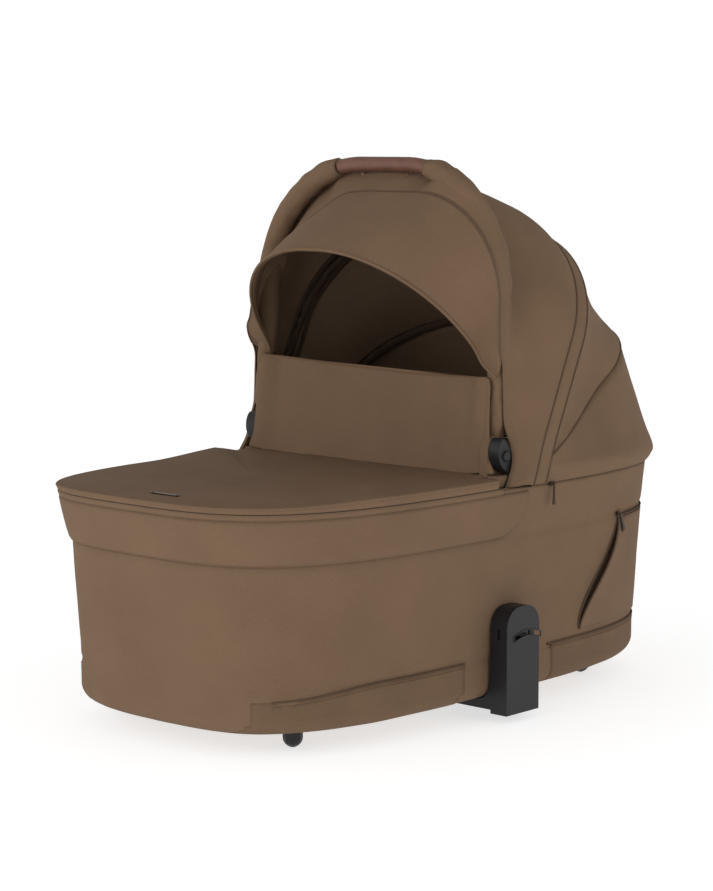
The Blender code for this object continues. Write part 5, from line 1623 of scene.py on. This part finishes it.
@dataclass
class Handle(Group):
    """Carry handle: padded sleeves, leather grip and covered legs."""

    path: Arch = HANDLE_ARCH
    sleeve_from_z: float = 0.4175
    leg_from_z: float = 0.3330
    grip_half: float = 0.071
    overlap: float = 0.0015
    sleeve_radius: float = 0.0146
    leg_radius: float = 0.0114
    grip_radius: float = 0.0092
    fold_depth: float = 0.0015

    def build(self) -> None:
        """Builds and dresses both sides and the grip."""
        fine, count = self.path.fine(), 60
        for side in Side:
            run = fine if side is Side.RIGHT else fine[::-1]
            half = run[run[:, 0] * side.value > self.grip_half + self.overlap]
            sleeve = resample(half[half[:, 2] >= self.sleeve_from_z - 0.004], 110)
            shares = np.linspace(0, 1, len(sleeve))
            radii = mix(self.leg_radius, self.sleeve_radius, smooth(shares / 0.22))
            radii = radii - 0.0026 * smooth((shares - 0.93) / 0.07)
            self.padded_tube(f"sleeve_{side.word}_cloth", sleeve, radii, side, f"handle_sleeve_{side.word}")
            leg = resample(half[(half[:, 2] >= self.leg_from_z) & (half[:, 2] <= self.sleeve_from_z)], 40)
            radii = self.leg_radius - 0.0022 * smooth(1 - np.linspace(0, 1, len(leg)) / 0.2)
            self.padded_tube(f"leg_{side.word}_cloth", leg, radii, side, "handle_tube")
        grip = resample(fine[np.abs(fine[:, 0]) <= self.grip_half + self.overlap], count)
        radii = self.grip_radius + 0.0006 * smooth((np.abs(np.linspace(-1, 1, count)) - 0.93) / 0.05)
        self.put(tube("grip_leather", grip, radii, 32), Finishes.leather, "hood_frame", "handle_grip")
        line = grip + np.array([0.0, 0.0015, -self.grip_radius + 0.0001])
        seam = stitches("grip_stitches", line, np.tile(-UP, (count, 1)), 0.003, 0.0004)
        self.put(seam, Finishes.thread, "hood_frame")

    def padded_tube(self, name: str, path: np.ndarray, radii: np.ndarray, side: Side, node: str) -> None:
        """Cloth over padding round the tube, with soft folds across it.

        Args:
            name: Name of the piece.
            path: Middle line.
            radii: Radius at each point.
            side: Side of the tub.
            node: CAD node that it replaces.
        """
        sides = 40
        turns = np.linspace(0, FULL, sides, endpoint=False)
        around = rings_along(path, sides)
        places = path[:, None] + around * radii[:, None, None]
        along = run_lengths(path)[:, None] * np.ones(sides)
        folds = np.stack([along / 0.017, np.cos(turns) * np.ones(along.shape) * 1.1,
                          np.sin(turns) * np.ones(along.shape) * 1.1 + side.value * 5], axis=-1)
        ripple = soft_noise(folds, 1.0, 3.0) * self.fold_depth + 0.0007 * soft_noise(places, 0.03, 5.0)
        grid = with_ends(path, places + around * ripple[..., None], 0.72)
        self.put(grid_mesh(name, grid, True), Finishes.outer, "hood_frame", node)


@dataclass
class Hardware(Group):
    """Hard parts: hinges, adapters, feet, bows, zip pulls and the vent flap's trim."""

    hinge: Pair = (0.003, 0.315)
    knob_in: float = 0.2012
    far_tuck: float = 0.0075
    channel_room: float = 0.0014
    boot_reach: float = 0.0150
    boot_thick: float = 0.0130
    boot_low: float = 0.2776
    boot_high: float = 0.0225
    boot_round: float = 0.0190
    boot_bevel: float = 0.0030
    boot_foot_tall: float = 0.0140
    slot_radius: float = 0.0016
    lip_radius: float = 0.0009
    bridge_radius: float = 0.0006
    pull_thick: float = 0.0012
    slider_thick: float = 0.0020
    pin_radius: float = 0.0030
    pin_length: float = 0.0150
    pin_back: float = 0.0080
    knob_thick: float = 0.0165
    knob_half: float = 0.0125
    knob_lean: float = 0.0042
    knob_low: float = 0.0200
    knob_high: float = 0.0215
    adapter_out: float = 0.246
    slit_y: float = 0.0115
    slit_z: float = 0.101
    slit_width: float = 0.050
    slit_open: float = 0.007
    slit_arc: float = 0.005
    pull_length: float = 0.0255
    pull_widths: tuple[Pair, ...] = (
        (0.0, 0.0012), (0.06, 0.0015), (0.7, 0.0019), (0.92, 0.0027), (1.0, 0.0022))
    vent_low: Pair = (0.160, 0.0850)
    vent_high: Pair = (0.240, 0.2150)
    vent_left_y: float = 0.160

    def build(self) -> None:
        """Builds the visible trim and dresses every hard CAD node."""
        self.dress_nodes()
        for side in Side:
            self.knob(side)
            self.boot(side)
            self.slit_lip(side)
        self.zip_pull("hood", 0.070, 0.2775, 0.001, 0.0, True)
        self.zip_pull("vent", 0.240, 0.2205, self.plan.inset_at(0.2205), math.radians(25), False)
        self.vent()

    def dress_nodes(self) -> None:
        """Finishes and softened edges for the CAD nodes that stay visible."""
        kinds = (("adapter", Finishes.black, 0.0012), ("bow_plate", Finishes.black, 0.0005),
                 ("release_lever", Finishes.grey, 0.0005), ("latch_bolt", Finishes.steel, 0.0005),
                 ("lever_spring", Finishes.steel, 0.0))
        for name, finish, bevel in kinds:
            for side in Side:
                item = self.finishes.dress(bpy.data.objects[f"{name}_{side.word}"], finish)
                if bevel:
                    round_edges(item, bevel, 3)
        for side in ("left", "right"):
            for end in ("front", "rear"):
                self.finishes.dress(bpy.data.objects[f"arm_screw_{side}_{end}"], Finishes.steel)
                foot = self.finishes.dress(bpy.data.objects[f"foot_{end}_{side}"], Finishes.black)
                round_edges(foot, 0.0006, 2)
        for name, body in (("middle_bow", "mid_bow"), ("rear_bow", "back_bow")):
            self.channel(self.finishes.dress(bpy.data.objects[name], Finishes.steel), body)

    def channel(self, bow: Item, body: str) -> None:
        """Cloth channel sewn round a bow, a little wider than the bow itself.

        Args:
            bow: The bow.
            body: Body that it rides.
        """
        shape = bmesh.new()
        shape.from_mesh(bow.data)
        bmesh.ops.remove_doubles(shape, verts=shape.verts, dist=self.channel_room / 20)
        bmesh.ops.recalc_face_normals(shape, faces=shape.faces)
        shape.normal_update()
        points = np.array([bow.matrix_world @ (v.co + v.normal * self.channel_room) for v in shape.verts])
        faces = [tuple(v.index for v in face.verts) for face in shape.faces]
        shape.free()
        item = mesh_object(f"{bow.name}_channel", points, faces)
        modifier = item.modifiers.new("smooth", "SUBSURF")
        modifier.levels = modifier.render_levels = 1
        self.put(item, Finishes.tape, body)

    def place(self, side: Side) -> Triple:
        """Inner face and centre of the hinge cover, tucked in and back on the far side."""
        tuck = self.far_tuck if side is Side.LEFT else 0.0
        return side.value * (self.knob_in - tuck), self.hinge[0] + tuck, self.hinge[1]

    def knob(self, side: Side) -> None:
        """Lens-shaped hinge cover with a pointed top, its lock button and the pin inside it.

        Args:
            side: Side of the tub.
        """
        (x, y, z), word, axis = self.place(side), side.word, (side.value, 0, 0)
        out = x + side.value * self.knob_thick
        outline = []
        for turn in np.linspace(0, FULL, 56, endpoint=False):
            c, s = math.cos(turn), math.sin(turn)
            tall = self.knob_high if s > 0 else self.knob_low
            wide = self.knob_half * (1 - 0.10 * max(s, 0))
            outline.append((x, y + wide * power(c, 1.35) - self.knob_lean * s, z + tall * power(s, 0.95)))
        item = extruded(f"knob_{word}_cover", outline, axis, self.knob_thick, 0.0035, 5)
        if side is Side.LEFT:
            item.data.flip_normals()
        self.put(item, Finishes.black, "hood_frame", f"hinge_knob_{word}")
        profile = [(0.0068, -0.0004), (0.0072, 0.0003), (0.0066, 0.0006), (0.0062, -0.0002)]
        button_ring = turned(f"knob_{word}_button_ring", profile, (out, y, z), axis, 40)
        self.put(button_ring, Finishes.black, "hood_frame")
        wide, long = self.pin_radius, self.pin_length
        profile = [(0.0, 0.0), (wide, 0.0), (wide, long), (0.0, long)]
        pin = turned(f"hinge_pin_{word}_rod", profile, (x - side.value * self.pin_back, y, z), axis, 24)
        self.put(pin, Finishes.steel, "tub", f"hinge_pin_{word}")
        profile = [(0.0, 0.0002), (0.0060, 0.0002), (0.0060, 0.0022), (0.0052, 0.0030), (0.0, 0.0033)]
        button = turned(f"lock_button_{word}_cap", profile, (out, y, z), axis, 40)
        self.put(button, Finishes.black, f"button_{word}", f"lock_button_{word}")

    def boot(self, side: Side) -> None:
        """Cloth boot over the hinge bracket, on the rim behind the cover, with a black tube before it painted
        in as the shade of a slot.

        Args:
            side: Side of the tub.
        """
        (x, y, z), word, sign = self.place(side), side.word, side.value
        low, reach, radius = self.boot_low, self.boot_reach, self.boot_round
        middle = z + self.boot_high - radius
        outline = [(x, y - reach, low), (x, y + reach + 0.004, low)]
        for turn in np.linspace(0.05, math.pi - 0.05, 24):
            across = y + 0.002 + (reach + 0.002) * math.cos(turn)
            outline.append((x, across, middle + radius * math.sin(turn)))
        item = extruded(f"bracket_{word}_boot", outline, (-sign, 0.0, 0.0), self.boot_thick,
                        self.boot_bevel, 4)
        if side is Side.RIGHT:
            item.data.flip_normals()
        self.put(item, Finishes.outer, "tub", f"hinge_bracket_{word}")
        x0, x1 = sorted((x - sign * 0.001, x + sign * 0.0172))
        y0, y1 = y - 0.0150, y + 0.0170
        corners = [(x0, y0, low), (x1, y0, low), (x1, y1, low), (x0, y1, low)]
        foot = extruded(f"bracket_{word}_boot_foot", corners, UP, self.boot_foot_tall, self.boot_bevel, 4)
        self.put(foot, Finishes.outer, "tub")
        # Black tube below the cover: painted shade of the slot there.
        keys = [np.array((x + sign * out, y + ahead, z - down)) for out, ahead, down in (
            (0.0162, 0.0070, 0.0205), (0.0180, 0.0030, 0.0270), (0.0190, -0.0045, 0.0375))]
        slot = tube(f"bracket_{word}_slot", spline(keys, 6), self.slot_radius, 10)
        self.put(slot, Finishes.black, "tub")

    def slit_lip(self, side: Side) -> None:
        """Raised lip round the slit in the adapter's face.

        Args:
            side: Side of the tub.
        """
        path = []
        for sign, shares in ((1, np.linspace(0, 1, 24)), (-1, 1 - np.linspace(0, 1, 24))):
            for share in shares:
                rise = self.slit_arc * math.sin(math.pi * share) + sign * self.slit_open / 2
                y = self.slit_y - self.slit_width / 2 + self.slit_width * share
                path.append((side.value * (self.adapter_out + 0.0001), y, self.slit_z + rise))
        lip = tube(f"adapter_lip_{side.word}", np.array(path), self.lip_radius, closed=True)
        self.put(lip, Finishes.black, "tub")

    def zip_pull(self, zip_word: str, y: float, z: float, inset: float, slant: float, plain: bool) -> None:
        """Slider with its bridge, and a slim pull hanging from it.

        Args:
            zip_word: Start of the node and body names.
            y: Place along the side.
            z: Height.
            inset: How far the wall lies inside the outline there.
            slant: Lean of the pull, in radians.
            plain: Whether the pull is a plain slim bar and not a wider one with an inlay.
        """
        name, slider, pull = f"{zip_word}_zip", f"{zip_word}_slider", f"{zip_word}_pull"
        turns = np.array([self.plan.turn_at(y, z)])
        out = self.plan.outward(turns)[0]
        along = np.cross(UP, out)
        origin = self.plan.points(turns, inset, z)[0] + out * 0.0004
        outline = []
        for turn in np.linspace(0, FULL, 32, endpoint=False):
            u, v = math.cos(turn), math.sin(turn)
            waist = 0.0030 - 0.0007 * bell(u, 0.35)
            outline.append(origin + along * (0.0055 * u) + UP * (waist * power(v, 0.6)))
        body = extruded(f"{name}_slider_body", outline, out, self.slider_thick, 0.0004, 2)
        self.put(body, Finishes.bronze, slider, f"{name}_slider")
        arc = np.array([origin + along * (0.0038 * math.cos(turn)) + out * (0.0016 + 0.0022 * math.sin(turn))
                        for turn in np.linspace(0, math.pi, 14)])
        self.put(tube(f"{name}_bridge", arc, self.bridge_radius), Finishes.bronze, slider)
        hang = origin + out * 0.0033
        drop = unit(along * math.sin(slant) - UP * math.cos(slant))
        side = np.cross(drop, out) * (1.0 if plain else 1.45)
        outline = [hang + drop * (self.pull_length * share) + side * half * sign
                   for sign, widths in ((1, self.pull_widths), (-1, self.pull_widths[::-1]))
                   for share, half in widths]
        bar = extruded(f"{name}_pull_bar", outline, out, self.pull_thick, 0.0003, 2)
        self.put(bar, Finishes.bronze, pull, f"{name}_pull")
        if not plain:
            corners = [hang + out * 0.0010 + drop * down + side * half for down, half in
                       ((0.0045, 0.0009), (0.0225, 0.0014), (0.0225, -0.0014), (0.0045, -0.0009))]
            self.put(extruded(f"{name}_pull_inlay", corners, out, 0.0004), Finishes.black, pull)

    def vent(self) -> None:
        """Vent flap round the head end, its curved lip lifted off the wall, with a dark sheet under the lip
        painted in as the shade of the gap.
        """
        plan = self.plan
        (low_y, low_z), (high_y, high_z) = self.vent_low, self.vent_high
        shares = np.linspace(0, 1, 25)
        edge = [(share, mix(low_y, high_y, smooth(share)), mix(low_z, high_z, share)) for share in shares]
        rows = []
        for share, y, z in edge:
            end = math.pi - plan.turn_at(self.vent_left_y, z)
            turns = plan.even_turns(150, plan.turn_at(y, z), end, closed=False)
            away = run_lengths(plan.points(turns, 0.0, z))
            lift = 0.0066 * math.sin(math.pi * share) * bell(away, 0.030)
            rows.append(plan.on_wall(turns, z, 0.0012) + plan.outward(turns) * lift[:, None])
        grid = np.array(rows)[::-1, ::-1]
        grid = soften(grid, 0.0008, 0.07, 41.0, False, np.sin(math.pi * shares)[:, None])[:, ::-1]
        item = sheet("vent_cloth", grid, 0.0012)
        if not faces_out(grid, (0.0, 0.1, 0.15)):
            item.data.flip_normals()
        self.put(item, Finishes.outer, "tub", "vent_flap")
        self.put(tube("vent_lip", np.array([row[0] for row in rows]), 0.0014), Finishes.edging, "tub")
        # Dark strip under the lifted lip: painted shade of the gap, not a part of the vent.
        dark, heights = [], np.array([z for _, _, z in edge])
        for offset in (-0.0075, -0.002, 0.0025):
            turns = np.array([plan.turn_at(y + offset * math.sin(math.pi * share) ** 0.5, z)
                              for share, y, z in edge])
            dark.append(plan.on_wall(turns, heights, 0.0006))
        grid = np.array(dark)
        item = sheet("vent_gap", grid, 0.0006)
        if grid_normals(grid)[..., 0].mean() < 0:
            item.data.flip_normals()
        self.put(item, Finishes.tape, "tub")
        z = high_z + 0.0035
        start = plan.turn_at(high_y, z)
        path = plan.on_wall(plan.even_turns(400, start, math.pi - start, closed=False), z, 0.0004)
        radii = 0.0011 + 0.0002 * np.sin(FULL * run_lengths(path) / 0.0024)
        self.put(tube("vent_coil", path, radii, 6), Finishes.coil, "tub")


@dataclass
class Studio:
    """Pale floor, soft lights and the camera of the photograph."""

    camera_at: Triple = (2.02552, -2.24536, 0.68688)
    azimuth: float = 42.3
    elevation: float = 7.11
    focal_pixels: float = 2460.0
    image_height: float = 891.0
    sensor: float = 36.0
    floor_size: float = 60.0
    floor_glow: float = 0.66
    floor_tones: Pair = (0.60, 0.62)
    sky_low: float = 1.06
    sky_high: float = 0.31

    def build(self) -> None:
        """Builds floor, lights and camera."""
        self.floor()
        self.sky()
        self.lamp("key_light", (-0.3, -3.4, 1.3), (0.0, 0.0, 0.35), 2.2, 30.0)
        self.lamp("side_light", (3.6, 0.6, 1.5), (0.0, 0.0, 0.3), 2.0, 11.0)
        scene, data = bpy.context.scene, bpy.data.cameras.new("camera")
        a, e = math.radians(self.azimuth), math.radians(self.elevation)
        forward = (-math.sin(a) * math.cos(e), math.cos(a) * math.cos(e), -math.sin(e))
        data.sensor_width = self.sensor
        data.lens = self.focal_pixels / self.image_height * self.sensor
        scene.camera = self.aimed("camera", data, self.camera_at, forward)
        scene.view_settings.view_transform = "Standard"

    def aimed(self, name: str, data: bpy.types.ID, place: Triple, forward: Sequence[float]) -> Item:
        """Camera or light that stands in a place and looks in a direction.

        Args:
            name: Name of the object.
            data: Its camera or light.
            place: Where it stands.
            forward: Where it looks.

        Returns:
            The new object.
        """
        item = bpy.data.objects.new(name, data)
        bpy.context.scene.collection.objects.link(item)
        item.location = place
        item.rotation_euler = Vector(forward).to_track_quat("-Z", "Y").to_euler()
        return item

    def floor(self) -> None:
        """Large plain floor."""
        half = self.floor_size / 2
        corners = np.array([(-half, -half, 0), (half, -half, 0), (half, half, 0), (-half, half, 0)])
        floor = mesh_object("floor", corners, [(0, 1, 2, 3)])
        graph = Graph("floor_paint")
        low, high = self.floor_tones
        tone = graph.ramp(graph.speckle(graph.place, 3.0), ((low,) * 3, (high,) * 3))
        floor.data.materials.append(graph.surface(tone, 0.9, Emission_Color=(1.0, 1.0, 1.0, 1.0),
                                                  Emission_Strength=self.floor_glow, Specular_IOR_Level=0.1))

    def sky(self) -> None:
        """White surround that is brightest at eye level and dimmer overhead."""
        world = bpy.data.worlds.new("studio")
        world.use_nodes = True
        tree = world.node_tree
        shader = tree.nodes["Background"]
        shader.inputs["Color"].default_value = (1.0, 1.0, 1.0, 1.0)
        kinds = ("TexCoord", "SeparateXYZ", "MapRange")
        place, parts, level = (tree.nodes.new(f"ShaderNode{kind}") for kind in kinds)
        level.inputs["To Min"].default_value = self.sky_low
        level.inputs["To Max"].default_value = self.sky_high
        tree.links.new(place.outputs["Generated"], parts.inputs[0])
        tree.links.new(parts.outputs["Z"], level.inputs["Value"])
        tree.links.new(level.outputs[0], shader.inputs["Strength"])
        bpy.context.scene.world = world

    def lamp(self, name: str, place: Triple, target: Triple, size: float, power_w: float) -> None:
        """Square area light.

        Args:
            name: Name of the light.
            place: Where it stands.
            target: What it points at.
            size: Length of its side.
            power_w: Watts.
        """
        light = bpy.data.lights.new(name, "AREA")
        light.size = size
        light.energy = power_w
        self.aimed(name, light, place, Vector(target) - Vector(place))


def main() -> None:
    """Loads the frame, dresses every piece and sets the studio."""
    logging.basicConfig(level=logging.INFO, format="%(name)s %(message)s")
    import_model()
    finishes = Finishes()
    Studio().build()
    for group in (Tub, Apron, Hood, Handle, Hardware):
        group(finishes).build()


if __name__ == "__main__":
    main()
